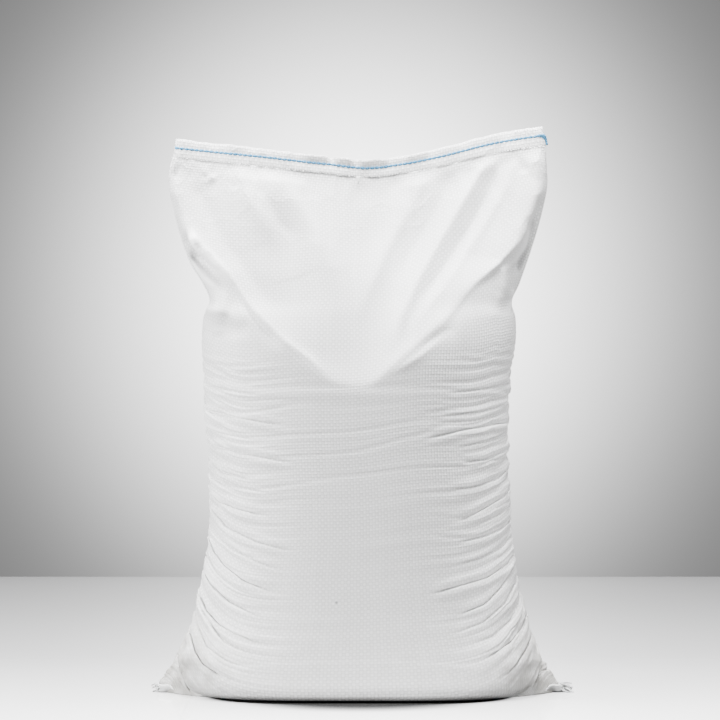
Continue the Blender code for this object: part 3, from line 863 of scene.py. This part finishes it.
def blank():
    """A new bmesh with a layer of UVs, and the layer."""
    bm = bmesh.new()
    return bm, bm.loops.layers.uv.new("UVMap")


def meshed(name, bm):
    """The finished bmesh as smooth mesh data."""
    mesh = bpy.data.meshes.new(name)
    bm.to_mesh(mesh)
    bm.free()
    mesh.shade_smooth()
    return mesh


def show(name, data, finish=None):
    """A new object in the scene with this data, and with its material where one is given."""
    made = bpy.data.objects.new(name, data)
    if finish:
        data.materials.append(finish)
    bpy.context.scene.collection.objects.link(made)
    return made


def spaced(line, pitch, start=0.0, end=0.0):
    """Points along a line at the pitch, with the direction at each, leaving start and end free."""
    line = np.asarray(line)
    steps = np.linalg.norm(np.diff(line, axis=0), axis=1)
    along = np.concatenate([[0], np.cumsum(steps)])
    count = max(int(round((along[-1] - start - end) / pitch)), 1)
    middles = start + (np.arange(count) + 0.5) * (along[-1] - start - end) / count
    places = np.stack([np.interp(middles, along, line[:, axis]) for axis in range(3)], axis=1)
    ahead = np.stack([np.interp(middles + pitch / 4, along, line[:, axis]) for axis in range(3)], axis=1)
    behind = np.stack([np.interp(middles - pitch / 4, along, line[:, axis]) for axis in range(3)], axis=1)
    direction = (ahead - behind) / np.linalg.norm(ahead - behind, axis=1, keepdims=True)
    return places, direction


def lay_stitch(bm, place, along, face, length, width, turn=0.0):
    """One short piece of thread: a slender drop along the seam, flattened against the cloth's face."""
    along, face = Vector(along).normalized(), Vector(face)
    face = (face - face.dot(along) * along).normalized()
    along = Matrix.Rotation(turn, 3, face) @ along
    turned = Matrix((along.cross(face), face, along)).transposed().to_4x4()
    scale = Matrix.Diagonal((width / 2, width * 0.4, length / 2, 1))
    pose = Matrix.Translation(place) @ turned @ scale
    bmesh.ops.create_uvsphere(bm, u_segments=8, v_segments=6, radius=1, calc_uvs=True, matrix=pose)


def lay_tape(bm, points, width, face):
    """A loose tape of the weave: a narrow strip along the points, its flat side along face."""
    points = [Vector(point) for point in points]
    made = bmesh.ops.create_grid(bm, x_segments=1, y_segments=len(points) - 1, size=1, calc_uvs=True)
    for index, vert in enumerate(made["verts"]):
        row, side = divmod(index, 2)
        ahead = points[min(row + 1, len(points) - 1)] - points[max(row - 1, 0)]
        across = ahead.cross(Vector(face)).normalized()
        vert.co = points[row] + across * (width / 2) * (2 * side - 1)
    flat = bmesh.ops.extrude_face_region(bm, geom=[f for f in bm.faces if f.verts[0] in made["verts"]])
    for item in flat["geom"]:
        if isinstance(item, bmesh.types.BMVert):
            item.co += Vector(face).normalized() * 0.00015


class Shader:
    """A short way to wire a material's nodes."""

    def __init__(self, name):
        self.material = bpy.data.materials.new(name)
        self.material.use_nodes = True
        self.tree = self.material.node_tree
        self.surface = self.tree.nodes["Principled BSDF"]

    def put(self, kind, settings=(), **sockets):
        """Adds a node, sets its settings and feeds its sockets with constants or other nodes' outputs."""
        node = self.tree.nodes.new(kind)
        for name, value in dict(settings).items():
            setattr(node, name, value)
        for name, value in sockets.items():
            self.feed(node.inputs[int(name[1:])] if name[1:].isdigit() else node.inputs[name.replace("_", " ")], value)
        return node

    def feed(self, socket, value):
        """Gives a socket a constant or links another node's output to it."""
        if isinstance(value, bpy.types.NodeSocket):
            self.tree.links.new(value, socket)
        else:
            socket.default_value = value

    def math(self, operation, first, second=0.0, third=0.0):
        """The result of one operation on up to three values."""
        return self.put("ShaderNodeMath", {"operation": operation}, i0=first, i1=second, i2=third).outputs[0]

    def noise(self, place, scale, detail=2.0):
        """Noise about 0.5, finer with a larger scale."""
        made = self.put("ShaderNodeTexNoise", (), Vector=place, Scale=scale, Detail=detail)
        return made.outputs[0]

    def ramp(self, value, start, end, first=0.0, last=1.0, kind="LINEAR"):
        """Goes from first to last while the value goes from start to end, and no farther."""
        settings = {"clamp": True, "interpolation_type": kind}
        return self.put("ShaderNodeMapRange", settings, i0=value, i1=start, i2=end, i3=first, i4=last).outputs[0]

    def crumples(self, place):
        """Faint sharp lines in which cloth was crumpled once, 0 off them and up to 1 on them."""
        bent = self.noise(place, 14.0, 3.0)
        off = self.math("ABSOLUTE", self.math("SUBTRACT", bent, 0.5))
        line = self.math("EXPONENT", self.math("MULTIPLY", off, -22.0))
        return self.math("MULTIPLY", line, self.noise(place, 5.0, 1.0))

    def mixed(self, share, first, second):
        """Two colours mixed: the first where the share is 0, the second where it is 1."""
        made = self.put("ShaderNodeMix", {"data_type": "RGBA"}, i0=share, i6=first, i7=second)
        return made.outputs[2]


def woven_cloth(settings):
    """White tape cloth in plain weave: each tape rounds over and dives under those that cross it."""
    shader = Shader("woven_cloth")
    put, math_of, ramp = shader.put, shader.math, shader.ramp
    uv = put("ShaderNodeUVMap", {"uv_map": "UVMap"}).outputs[0]
    place = put("ShaderNodeTexCoord").outputs["Object"]
    where = put("ShaderNodeSeparateXYZ", (), i0=place)
    aside, high = math_of("ABSOLUTE", where.outputs[0]), where.outputs[2]
    parts = put("ShaderNodeSeparateXYZ", (), i0=uv)
    across = math_of("DIVIDE", parts.outputs[0], settings.tape_width)
    up = math_of("DIVIDE", parts.outputs[1], settings.tape_width)
    column, row = math_of("FLOOR", across), math_of("FLOOR", up)
    over = math_of("MODULO", math_of("ADD", column, row), 2.0)
    rounds = []
    for value in (across, up):
        centred = math_of("MULTIPLY_ADD", math_of("FRACT", value), 2.0, -1.0)
        rounds.append(math_of("SUBTRACT", 1.0, math_of("MULTIPLY", centred, centred)))
    ridge = [math_of("POWER", value, 0.35) for value in rounds]
    bulge = [math_of("MULTIPLY_ADD", math_of("POWER", value, 0.8), 0.75, 0.25) for value in rounds]
    warp = math_of("MULTIPLY", ridge[0], bulge[1])
    weft = math_of("MULTIPLY", ridge[1], bulge[0])
    top = put("ShaderNodeMix", (), i0=over, i2=weft, i3=warp).outputs[0]
    tapes = []
    for value, seed in ((column, 3.1), (row, 7.7)):
        spot = put("ShaderNodeCombineXYZ", (), i0=value, i1=seed).outputs[0]
        tapes.append(put("ShaderNodeTexWhiteNoise", {"noise_dimensions": "3D"}, Vector=spot).outputs[0])
    tape = put("ShaderNodeMix", (), i0=over, i2=tapes[1], i3=tapes[0]).outputs[0]
    cloud = shader.noise(place, 9.0, 4.0)
    fibre = shader.noise(put("ShaderNodeMapping", (), Vector=uv, Scale=(900, 60, 1)).outputs[0], 1.0)
    crumpled = math_of("MULTIPLY", shader.crumples(place), ramp(high, 0.46, 0.64, 0.15, 2.2))
    height = math_of("MULTIPLY_ADD", fibre, 0.12, top)
    height = math_of("MULTIPLY_ADD", crumpled, 2.2, height)
    # Painted shade of the weave: the tapes are painted lighter where they round over and darker towards the dark gaps
    # between them, and the crossings of one direction darker than those of the other; tape and cloud vary the tone at
    # random
    light = math_of("MULTIPLY_ADD", top, 0.40, 0.62)
    light = math_of("MULTIPLY", light, math_of("MULTIPLY_ADD", tape, 0.10, 0.94))
    light = math_of("MULTIPLY", light, math_of("MULTIPLY_ADD", over, -0.19, 1.05))
    light = math_of("MULTIPLY", light, math_of("MULTIPLY_ADD", cloud, 0.08, 0.95))
    clean = shader.mixed(math_of("MINIMUM", light, 1.0), GAP_AND_SHADE, (*settings.colour, 1))
    # Painted highlight: the outstanding lips of the creases are painted nearly white
    lip_highlight = put("ShaderNodeAttribute", {"attribute_name": "lip_highlight"}).outputs["Fac"]
    clean = shader.mixed(lip_highlight, clean, HIGHLIGHT_WHITE)
    # Dust and painted shade: darker over the lowest 5 cm towards the floor, darker over the lowest 0.42 m as painted
    # shade where less light falls, and darker on the ears and low sides as painted shade; a mottle breaks it up, and
    # the same mask makes the cloth rougher
    near_floor, risen = ramp(high, 0.0, 0.05, 0.55, 0.0), ramp(high, 0.0, 0.42, 0.34, 0.0)
    on_ears = math_of("MULTIPLY", ramp(aside, 0.120, 0.225, 0.0, 1.9), ramp(high, 0.03, 0.17, 1.0, 0.0))
    dust_and_shade = math_of("MAXIMUM", math_of("MAXIMUM", near_floor, on_ears), risen)
    dust_and_shade = math_of("MULTIPLY", dust_and_shade, shader.noise(place, 60.0, 5.0))
    coloured = shader.mixed(dust_and_shade, clean, DUST_AND_SHADE)
    from_speck = put("ShaderNodeVectorMath", {"operation": "DISTANCE"}, i0=place, i1=SPECK).outputs["Value"]
    coloured = shader.mixed(ramp(from_speck, 0.0009, 0.0022, 0.75, 0.0), coloured, DARK)
    shader.feed(shader.surface.inputs["Base Color"], coloured)
    rough = math_of("MULTIPLY_ADD", cloud, 0.16, 0.36)
    shader.feed(shader.surface.inputs["Roughness"], math_of("MULTIPLY_ADD", dust_and_shade, 0.3, rough))
    bump = put("ShaderNodeBump", (), Height=height, Distance=settings.tape_bulge, Strength=1.0)
    shader.feed(shader.surface.inputs["Normal"], bump.outputs[0])
    shader.surface.inputs["Specular IOR Level"].default_value = 0.45
    return shader.material


def twisted_thread(name, colour, shade):
    """Sewing thread: two plies that wind round each other, a little worn. Its darker colour, shade, is painted shade
    in the grooves between the plies and shows where the thread is worn.
    """
    shader = Shader(name)
    uv = shader.put("ShaderNodeUVMap", {"uv_map": "UVMap"}).outputs[0]
    place = shader.put("ShaderNodeTexCoord").outputs["Object"]
    parts = shader.put("ShaderNodeSeparateXYZ", (), i0=uv)
    round_thread = shader.math("MULTIPLY", parts.outputs[0], PLIES * 2 * math.pi)
    turn = shader.math("MULTIPLY_ADD", parts.outputs[1], 22.0, round_thread)
    wave = shader.math("MULTIPLY_ADD", shader.math("SINE", turn), 0.5, 0.5)
    worn = shader.noise(place, 300.0, 3.0)
    # Painted shade along the grooves of the twist, mixed with random wear
    share = shader.math("MULTIPLY_ADD", wave, 0.7, 0.3)
    share = shader.math("MULTIPLY", share, shader.math("MULTIPLY_ADD", worn, 0.5, 0.7))
    shader.feed(shader.surface.inputs["Base Color"], shader.mixed(share, (*shade, 1), (*colour, 1)))
    shader.feed(shader.surface.inputs["Roughness"], shader.math("MULTIPLY_ADD", worn, 0.2, 0.5))
    bump = shader.put("ShaderNodeBump", (), Height=wave, Distance=0.0003, Strength=0.8)
    shader.feed(shader.surface.inputs["Normal"], bump.outputs[0])
    return shader.material


def loose_tape():
    """The bare tape of the weave, smooth and a little glossy, with fine lengthwise drawing lines."""
    shader = Shader("loose_tape")
    place = shader.put("ShaderNodeTexCoord").outputs["Object"]
    streak = shader.noise(place, 700.0, 3.0)
    shader.feed(shader.surface.inputs["Base Color"], shader.mixed(streak, *BARE_TAPE))
    shader.feed(shader.surface.inputs["Roughness"], shader.math("MULTIPLY_ADD", streak, 0.2, 0.28))
    bump = shader.put("ShaderNodeBump", (), Height=streak, Distance=0.0001, Strength=0.5)
    shader.feed(shader.surface.inputs["Normal"], bump.outputs[0])
    return shader.material


def beyond_base(shader, place):
    """The mask of a painted shadow: 0 on the floor under the sack, 1 clear of it, and between them the soft painted
    shade round its base.
    """
    dark = shader.put("ShaderNodeMapping", (), Vector=place, Scale=(*[1 / size for size in FOOT_DARK], 0)).outputs[0]
    parts = shader.put("ShaderNodeSeparateXYZ", (), i0=dark)
    cubes = [shader.math("POWER", shader.math("ABSOLUTE", part), 3.0) for part in parts.outputs[:2]]
    clear = shader.ramp(shader.math("ADD", *cubes), 0.84, 1.06, kind="SMOOTHSTEP")
    shade = shader.put("ShaderNodeMapping", (), Vector=place, Scale=(*[1 / size for size in FOOT_SHADE], 0)).outputs[0]
    off = shader.put("ShaderNodeVectorMath", {"operation": "LENGTH"}, i0=shade).outputs["Value"]
    soft = shader.ramp(off, 0.64, 1.16, kind="SMOOTHSTEP")
    return shader.math("MULTIPLY", clear, shader.math("POWER", soft, 3.0))


def pale_floor():
    """A smooth pale floor that mirrors what stands on it. Its colour and glow hold painted light: they are brightest
    round the sack and darker towards the wall and the front, with a painted shadow under the sack. It glows like a
    table lit from below, less towards the wall, and not at all in front of what the camera sees."""
    shader = Shader("pale_floor")
    place = shader.put("ShaderNodeTexCoord").outputs["Object"]
    mottle = shader.noise(place, 3.0, 3.0)
    depth = shader.put("ShaderNodeSeparateXYZ", (), i0=place).outputs[1]
    # Painted light: the floor's colour is lightest round the sack and darker towards the wall and to the front
    far = shader.ramp(depth, -0.35, 0.55, kind="SMOOTHSTEP")
    near = shader.ramp(depth, -0.45, -1.6, kind="SMOOTHSTEP")
    tone = shader.mixed(far, (0.92, 0.92, 0.92, 1), (0.47, 0.47, 0.475, 1))
    tone = shader.mixed(near, tone, (0.55, 0.55, 0.55, 1))
    tone = shader.mixed(shader.math("MULTIPLY", mottle, 0.06), tone, (0.5, 0.5, 0.5, 1))
    # Painted shadow: under the sack and round its base the floor is painted near black and loses its mirror and its
    # glow
    clear = beyond_base(shader, place)
    shader.feed(shader.surface.inputs["Base Color"], shader.mixed(clear, (0.025, 0.025, 0.025, 1), tone))
    shader.feed(shader.surface.inputs["Specular IOR Level"], shader.math("MULTIPLY", clear, 0.5))
    shader.feed(shader.surface.inputs["Roughness"], shader.math("MULTIPLY_ADD", mottle, 0.04, 0.03))
    # Painted light: the floor glows most just in front of the sack, less towards the wall, and not at all beyond Y =
    # -0.7
    fading = shader.math("EXPONENT", shader.math("MULTIPLY_ADD", depth, -1.6, -0.16))
    fading = shader.math("MULTIPLY", fading, shader.math("GREATER_THAN", depth, -0.7))
    glow = shader.math("MULTIPLY", clear, shader.math("MULTIPLY", fading, 1.4))
    shader.surface.inputs["Emission Color"].default_value = WHITE
    shader.feed(shader.surface.inputs["Emission Strength"], glow)
    return shader.material


def lit_wall():
    """A wall with a soft pool of light behind the sack, which fades to its sides, its top and the floor. From behind
    it is clear."""
    shader = Shader("lit_wall")
    place = shader.put("ShaderNodeTexCoord").outputs["Object"]
    parts = shader.put("ShaderNodeSeparateXYZ", (), i0=place)
    middle, wide, tall = POOL
    aside = shader.math("DIVIDE", parts.outputs[0], wide)
    above = shader.math("DIVIDE", shader.math("SUBTRACT", parts.outputs[2], middle), tall)
    away = shader.math("ADD", shader.math("MULTIPLY", aside, aside), shader.math("MULTIPLY", above, above))
    pool = shader.math("EXPONENT", shader.math("MULTIPLY", away, -1.0))
    shader.surface.inputs["Base Color"].default_value = (0, 0, 0, 1)
    shader.surface.inputs["Specular IOR Level"].default_value = 0
    shader.feed(shader.surface.inputs["Emission Color"], shader.mixed(pool, (*[WALL_REST] * 3, 1), WHITE))
    shader.surface.inputs["Emission Strength"].default_value = WALL_GLOW
    behind = shader.put("ShaderNodeNewGeometry").outputs["Backfacing"]
    shader.feed(shader.surface.inputs["Alpha"], shader.math("SUBTRACT", 1.0, behind))
    return shader.material


class SackCloth(bpy.types.PropertyGroup):
    """Settings of the cloth"""

    tape_width: FloatProperty(
        name="Tape width", description="Width of one tape of the weave", default=TAPE, unit="LENGTH"
    )
    tape_bulge: FloatProperty(
        name="Tape bulge", description="Height of a tape where it crosses over another", default=0.00035, unit="LENGTH"
    )
    colour: FloatVectorProperty(
        name="Cloth colour",
        description="Colour of the clean tapes",
        default=(0.88, 0.88, 0.88),
        size=3,
        subtype="COLOR",
    )
    fill: FloatProperty(
        name="Fill", description="How tight the grain fills the cloth", default=0.8, min=0, max=1, subtype="FACTOR"
    )


class SackSeams(bpy.types.PropertyGroup):
    """Settings of the two seams"""

    pitch: FloatProperty(
        name="Stitch pitch", description="Length of one stitch with its gap", default=0.00606, unit="LENGTH"
    )
    thread_width: FloatProperty(
        name="Thread width", description="Width of the sewing thread", default=0.0036, unit="LENGTH"
    )
    blue: FloatVectorProperty(
        name="Mouth thread",
        description="Colour of the thread at the mouth",
        default=(0.06, 0.30, 0.55),
        size=3,
        subtype="COLOR",
    )
    white: FloatVectorProperty(
        name="Bottom thread",
        description="Colour of the thread at the bottom",
        default=(0.75, 0.75, 0.73),
        size=3,
        subtype="COLOR",
    )


class SackStage(bpy.types.PropertyGroup):
    """Settings of the camera"""

    distance: FloatProperty(
        name="Camera distance", description="From the camera to the sack's middle plane", default=3.8, unit="LENGTH"
    )
    eye: FloatProperty(
        name="Eye height", description="Height of the camera over the floor", default=0.400, unit="LENGTH"
    )
    lens: FloatProperty(
        name="Lens", description="Focal length on a 36 mm sensor", default=157.7, unit="CAMERA"
    )


class SACK_OT_cloth(bpy.types.Operator):
    """Makes the sack's cloth, filled with grain, with its mouth turned over"""

    bl_idname = "sack.cloth"
    bl_label = "Filled cloth"

    def execute(self, context):
        settings = context.scene.sack_cloth
        cloth, lip_highlight = settled_cloth()
        up = more_rows(np.linspace(0, CLOTH_LENGTH, ROWS + 1), *BODY_ROWS)
        up = np.concatenate([up, [CLOTH_LENGTH + rise for rise, _ in HEM_PROFILE]])
        hem = hem_rows()
        lip_highlight = np.concatenate([lip_highlight, 0 * hem[:, :, 0]])
        mesh = cloth_mesh("filled_cloth", np.concatenate([cloth, hem]), lip_highlight, up)
        sack = show("filled_cloth", mesh, woven_cloth(settings))
        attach(sack, "root")
        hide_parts("sack_cloth")
        return {"FINISHED"}


class SACK_OT_mouth_seam(bpy.types.Operator):
    """Sews the mouth with a two-thread chain stitch: straight stitches in front, loops behind, and the thread's tail"""

    bl_idname = "sack.mouth_seam"
    bl_label = "Mouth seam"

    def execute(self, context):
        settings = context.scene.sack_seams
        finish = twisted_thread("blue_thread", settings.blue, [0.45 * part for part in settings.blue])
        self.needle_side(settings, finish)
        self.looper_side(settings, finish)
        return {"FINISHED"}

    def needle_side(self, settings, finish):
        """The straight stitches on the front of the mouth."""
        bm, _ = blank()
        line = hem_line(SEAM_RISE, True, 0.0003)
        places, along = spaced(line, settings.pitch, 0.002, 0.001)
        rng = np.random.default_rng(31)
        for place, direction in zip(places, along):
            length = settings.pitch * rng.uniform(1.02, 1.12)
            lay_stitch(bm, place, direction, (0, -1, 0), length, settings.thread_width, rng.uniform(0.06, 0.14))
        self.tail(bm, settings, line)
        seam = show("needle_stitches", meshed("needle_stitches", bm), finish)
        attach(seam, "root")
        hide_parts("top_needle_thread")

    def looper_side(self, settings, finish):
        """The two slanting strands of each stitch on the back of the mouth."""
        bm, _ = blank()
        line = hem_line(SEAM_RISE, False, 0.0004)
        places, along = spaced(line, settings.pitch, 0.002, 0.001)
        length, width = settings.pitch * 1.12, settings.thread_width * 0.85
        for place, direction in zip(places, along):
            across = np.cross(direction, (0, 1, 0))
            for side in (-1, 1):
                strand = place + across * side * settings.thread_width * 0.45
                lay_stitch(bm, strand, direction, (0, 1, 0), length, width, 0.14 * side)
        seam = show("looper_stitches", meshed("looper_stitches", bm), finish)
        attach(seam, "root")
        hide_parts("top_looper_thread")

    def tail(self, bm, settings, start):
        """The short chain of thread that the machine leaves, turned round the cloth's right edge."""
        edge = start[0]
        points = [
            start[2],
            edge + np.array([-0.0012, -0.0022, 0.0]),
            edge + np.array([0.0006, -0.0012, -0.0035]),
            edge + np.array([0.0012, -0.0004, -0.0075]),
            edge + np.array([0.0022, -0.0008, -0.0115]),
        ]
        places, along = spaced(points, settings.pitch * 0.55)
        length, width = settings.pitch * 0.8, settings.thread_width
        for place, direction in zip(places, along):
            for side in (-1, 1):
                strand = place + np.array([side * width * 0.3, 0, 0])
                lay_stitch(bm, strand, direction, (0, -1, 0.1), length, width, 0.25 * side)


def bottom_line():
    """X along the folded bottom hem from ear to ear, and the share by which the hem is turned up at each."""
    x = np.linspace(EAR_REACH - 0.0004, -EAR_REACH + 0.0004, 121)
    turned = ease(np.abs(x), *HEM_TURN)
    return x, turned


class SACK_OT_bottom_seam(bpy.types.Operator):
    """Makes the folded and sewn bottom hem, which lies flat under the sack and turns up at its ears"""

    bl_idname = "sack.bottom_seam"
    bl_label = "Bottom seam"

    def execute(self, context):
        settings = context.scene.sack_seams
        x, turned = bottom_line()
        thick, flat_width, ear_width = 0.0012, 0.020, 0.0095
        bm, uv = blank()
        made = bmesh.ops.create_grid(bm, x_segments=len(x) - 1, y_segments=4, size=1)
        bm.verts.index_update()
        middle = []
        for index, vert in enumerate(made["verts"]):
            row, column = divmod(index, len(x))
            share = row / 4
            angle = turned[column] * math.radians(82)
            width = flat_width + (ear_width - flat_width) * turned[column]
            ear = min(0.4 * EAR_SLOPE * (EAR_REACH - abs(x[column])), 0.010) * turned[column]
            out = share * width * math.cos(angle)
            vert.co = (
                x[column] * (1 - 0.012 * share * turned[column]),
                -ear - 0.0024 * turned[column] - out,
                0.0002 + share * width * math.sin(angle),
            )
            if row == 2:
                middle.append(Vector(vert.co))
        for face in bm.faces:
            for loop in face.loops:
                row, column = divmod(loop.vert.index, len(x))
                loop[uv].uv = (column * 2 * EAR_REACH / len(x), row * flat_width / 4)
        bmesh.ops.recalc_face_normals(bm, faces=bm.faces)
        bmesh.ops.solidify(bm, geom=bm.faces[:], thickness=-thick)
        for vert in bm.verts:
            vert.co.z = max(vert.co.z, 0.0)
        band = show("bottom_hem", meshed("bottom_hem", bm), bpy.data.materials["woven_cloth"])
        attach(band, "root")
        self.stitches(settings, middle)
        return {"FINISHED"}

    def stitches(self, settings, middle):
        """The white stitches along the middle of the hem."""
        bm, _ = blank()
        places, along = spaced([tuple(point) for point in middle], settings.pitch, 0.003, 0.003)
        for place, direction in zip(places, along):
            share = float(ease(abs(place[0]), *HEM_TURN))
            face = (0, -math.sin(share * math.pi / 2), -math.cos(share * math.pi / 2) - 0.001)
            out = Vector(face).normalized() * 0.0002
            lay_stitch(bm, Vector(place) + out, direction, face, settings.pitch * 0.85, settings.thread_width * 0.8)
        for vert in bm.verts:
            vert.co.z = max(vert.co.z, 0.0)
        finish = twisted_thread("white_thread", settings.white, [0.6 * part for part in settings.white])
        seam = show("bottom_stitches", meshed("bottom_stitches", bm), finish)
        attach(seam, "root")
        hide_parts("bottom_thread")


class SACK_OT_loose_tapes(bpy.types.Operator):
    """Lays the frayed ends of tapes along the mouth's raw edge and at the bottom's two ears"""

    bl_idname = "sack.loose_tapes"
    bl_label = "Loose tapes"

    def execute(self, context):
        bm, _ = blank()
        rng = np.random.default_rng(41)
        self.raw_edge(bm, rng)
        self.ears(bm, rng)
        bmesh.ops.recalc_face_normals(bm, faces=bm.faces)
        tapes = show("loose_tapes", meshed("loose_tapes", bm), loose_tape())
        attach(tapes, "root")
        return {"FINISHED"}

    def raw_edge(self, bm, rng):
        """The cut ends of the upright tapes below the turned-over mouth, and the one small flap that came loose."""
        line = hem_line(0.0008, True, -0.0003)
        places, _ = spaced(line, TAPE, 0.003, 0.003)
        for place in places:
            length = 0.0002 + 0.0018 * rng.uniform() ** 3
            lean = rng.uniform(-0.12, 0.12)
            end = place + np.array([lean * length, -0.0004 - rng.uniform(0, 0.0006), -length - 0.0008])
            lay_tape(bm, [place, (place + end) / 2, end], TAPE * rng.uniform(0.6, 0.95), (0, -1, 0))
        for shift, length in ((-0.0035, 0.010), (-0.0012, 0.012), (0.0012, 0.0105)):
            top = places[np.argmin(np.abs(places[:, 0] - shift))].copy()
            top[0] = shift
            points = [top + np.array([0.0004 * k, -0.0004 - 0.0007 * k, -length * k / 3]) for k in range(4)]
            lay_tape(bm, points, 0.0022, (0, -1, 0))

    def ears(self, bm, rng):
        """The tapes that stick out of the bottom hem's two cut ends, more and longer ones on the right."""
        for side, count, longest in ((1, 30, 0.013), (-1, 18, 0.006)):
            for _ in range(count):
                root = np.array([side * (EAR_REACH - rng.uniform(0.0, 0.006)), rng.uniform(-0.006, 0.002), 0.0])
                root[2] = rng.uniform(0.0005, 0.0115)
                reach = longest * rng.uniform(0.35, 1.0)
                rise, forward, curl = rng.uniform(-0.5, 0.5), rng.uniform(-0.6, 0.3), rng.uniform(-0.0015, 0.0015)
                share = np.linspace(0, 1, 6)[:, None]
                points = root + share * reach * np.array([side, forward, rise])
                points[:, 2] += (curl * np.sin(4 * share) - 0.4 * reach * share**2)[:, 0]
                points[:, 2] = points[:, 2].clip(0.0010)
                face = (rng.uniform(-0.3, 0.3), -1, rng.uniform(-0.4, 0.8))
                lay_tape(bm, points, rng.uniform(0.0008, 0.0020), face)


class SACK_OT_stage(bpy.types.Operator):
    """Makes the floor, the backdrop, the lights and the camera"""

    bl_idname = "sack.stage"
    bl_label = "Stage"

    def execute(self, context):
        settings = context.scene.sack_stage
        half, front, top = ROOM
        floor = self.plane("floor", pale_floor(), (half, front, 0), (-half, WALL, 0))
        wall = self.plane("backdrop", lit_wall(), (half, WALL, -0.02), (-half, WALL, top))
        floor.visible_diffuse = False
        context.scene.world = self.room()
        for name, place, power in SQUARE_LAMPS:
            self.lamp(name, place, LAMP_SIZE, power)
        bounce = self.lamp("floor_bounce", (0.0, -0.20, 0.001), 0.5, 0.8)
        bounce.data.shape = "RECTANGLE"
        bounce.data.size_y = 0.12
        bounce.rotation_euler = (math.pi, 0, 0)
        bounce.visible_camera = False
        camera = bpy.data.cameras.new("camera")
        camera.lens = settings.lens
        camera.sensor_width = 36
        seen = show("camera", camera)
        seen.location = (0, -settings.distance, settings.eye)
        seen.rotation_euler = (math.pi / 2, 0, 0)
        context.scene.camera = seen
        return {"FINISHED"}

    def room(self):
        """The room round the stage, which looks bright to the camera but hardly lights the sack."""
        world = bpy.data.worlds.new("room")
        world.use_nodes = True
        nodes, links = world.node_tree.nodes, world.node_tree.links
        sky = nodes["Background"]
        sky.inputs["Color"].default_value = WHITE
        strength = nodes.new("ShaderNodeMapRange")
        strength.inputs["To Min"].default_value = ROOM_SHADE
        strength.inputs["To Max"].default_value = ROOM_LIGHT
        links.new(nodes.new("ShaderNodeLightPath").outputs["Is Camera Ray"], strength.inputs["Value"])
        links.new(strength.outputs["Result"], sky.inputs["Strength"])
        return world

    def plane(self, name, finish, first, last):
        """A flat rectangle between two opposite corners."""
        bm, _ = blank()
        bmesh.ops.create_grid(bm, x_segments=1, y_segments=1, size=1)
        upright = first[1] == last[1]
        for vert in bm.verts:
            far = (vert.co.y + 1) / 2
            x = last[0] if vert.co.x < 0 else first[0]
            other = first[2 if upright else 1] * (1 - far) + last[2 if upright else 1] * far
            vert.co = (x, first[1], other) if upright else (x, other, first[2])
        return show(name, meshed(name, bm), finish)

    def lamp(self, name, place, size, power):
        """A square soft light that faces the sack."""
        light = bpy.data.lights.new(name, "AREA")
        light.size = size
        light.energy = power
        lamp = show(name, light)
        lamp.location = place
        lamp.rotation_euler = (Vector(AIM) - Vector(place)).to_track_quat("-Z", "Y").to_euler()
        return lamp


class SACK_PT_panel(bpy.types.Panel):
    """The sack's sizes and colours, with a button for each group of pieces"""

    bl_idname = "SACK_PT_panel"
    bl_label = "Grain sack"
    bl_space_type = "VIEW_3D"
    bl_region_type = "UI"
    bl_category = "Grain sack"

    def draw(self, context):
        groups = (
            (context.scene.sack_cloth, ("tape_width", "tape_bulge", "colour", "fill"), ("sack.cloth",)),
            (
                context.scene.sack_seams,
                ("pitch", "thread_width", "blue", "white"),
                ("sack.mouth_seam", "sack.bottom_seam", "sack.loose_tapes"),
            ),
            (context.scene.sack_stage, ("distance", "eye", "lens"), ("sack.stage",)),
        )
        for settings, names, operators in groups:
            box = self.layout.box()
            for name in names:
                box.prop(settings, name)
            for operator in operators:
                box.operator(operator)


CLASSES = (
    SackCloth,
    SackSeams,
    SackStage,
    SACK_OT_cloth,
    SACK_OT_mouth_seam,
    SACK_OT_bottom_seam,
    SACK_OT_loose_tapes,
    SACK_OT_stage,
    SACK_PT_panel,
)


def register():
    """Adds the panel, the operators and the settings to Blender."""
    for made in CLASSES:
        bpy.utils.register_class(made)
    bpy.types.Scene.sack_cloth = PointerProperty(type=SackCloth)
    bpy.types.Scene.sack_seams = PointerProperty(type=SackSeams)
    bpy.types.Scene.sack_stage = PointerProperty(type=SackStage)


def unregister():
    """Takes them out again, in the opposite order."""
    del bpy.types.Scene.sack_cloth
    del bpy.types.Scene.sack_seams
    del bpy.types.Scene.sack_stage
    for made in reversed(CLASSES):
        bpy.utils.unregister_class(made)


def main():
    """Makes the whole scene."""
    register()
    bpy.ops.sack.cloth()
    bpy.ops.sack.mouth_seam()
    bpy.ops.sack.bottom_seam()
    bpy.ops.sack.loose_tapes()
    bpy.ops.sack.stage()


if __name__ == "__main__":
    main()
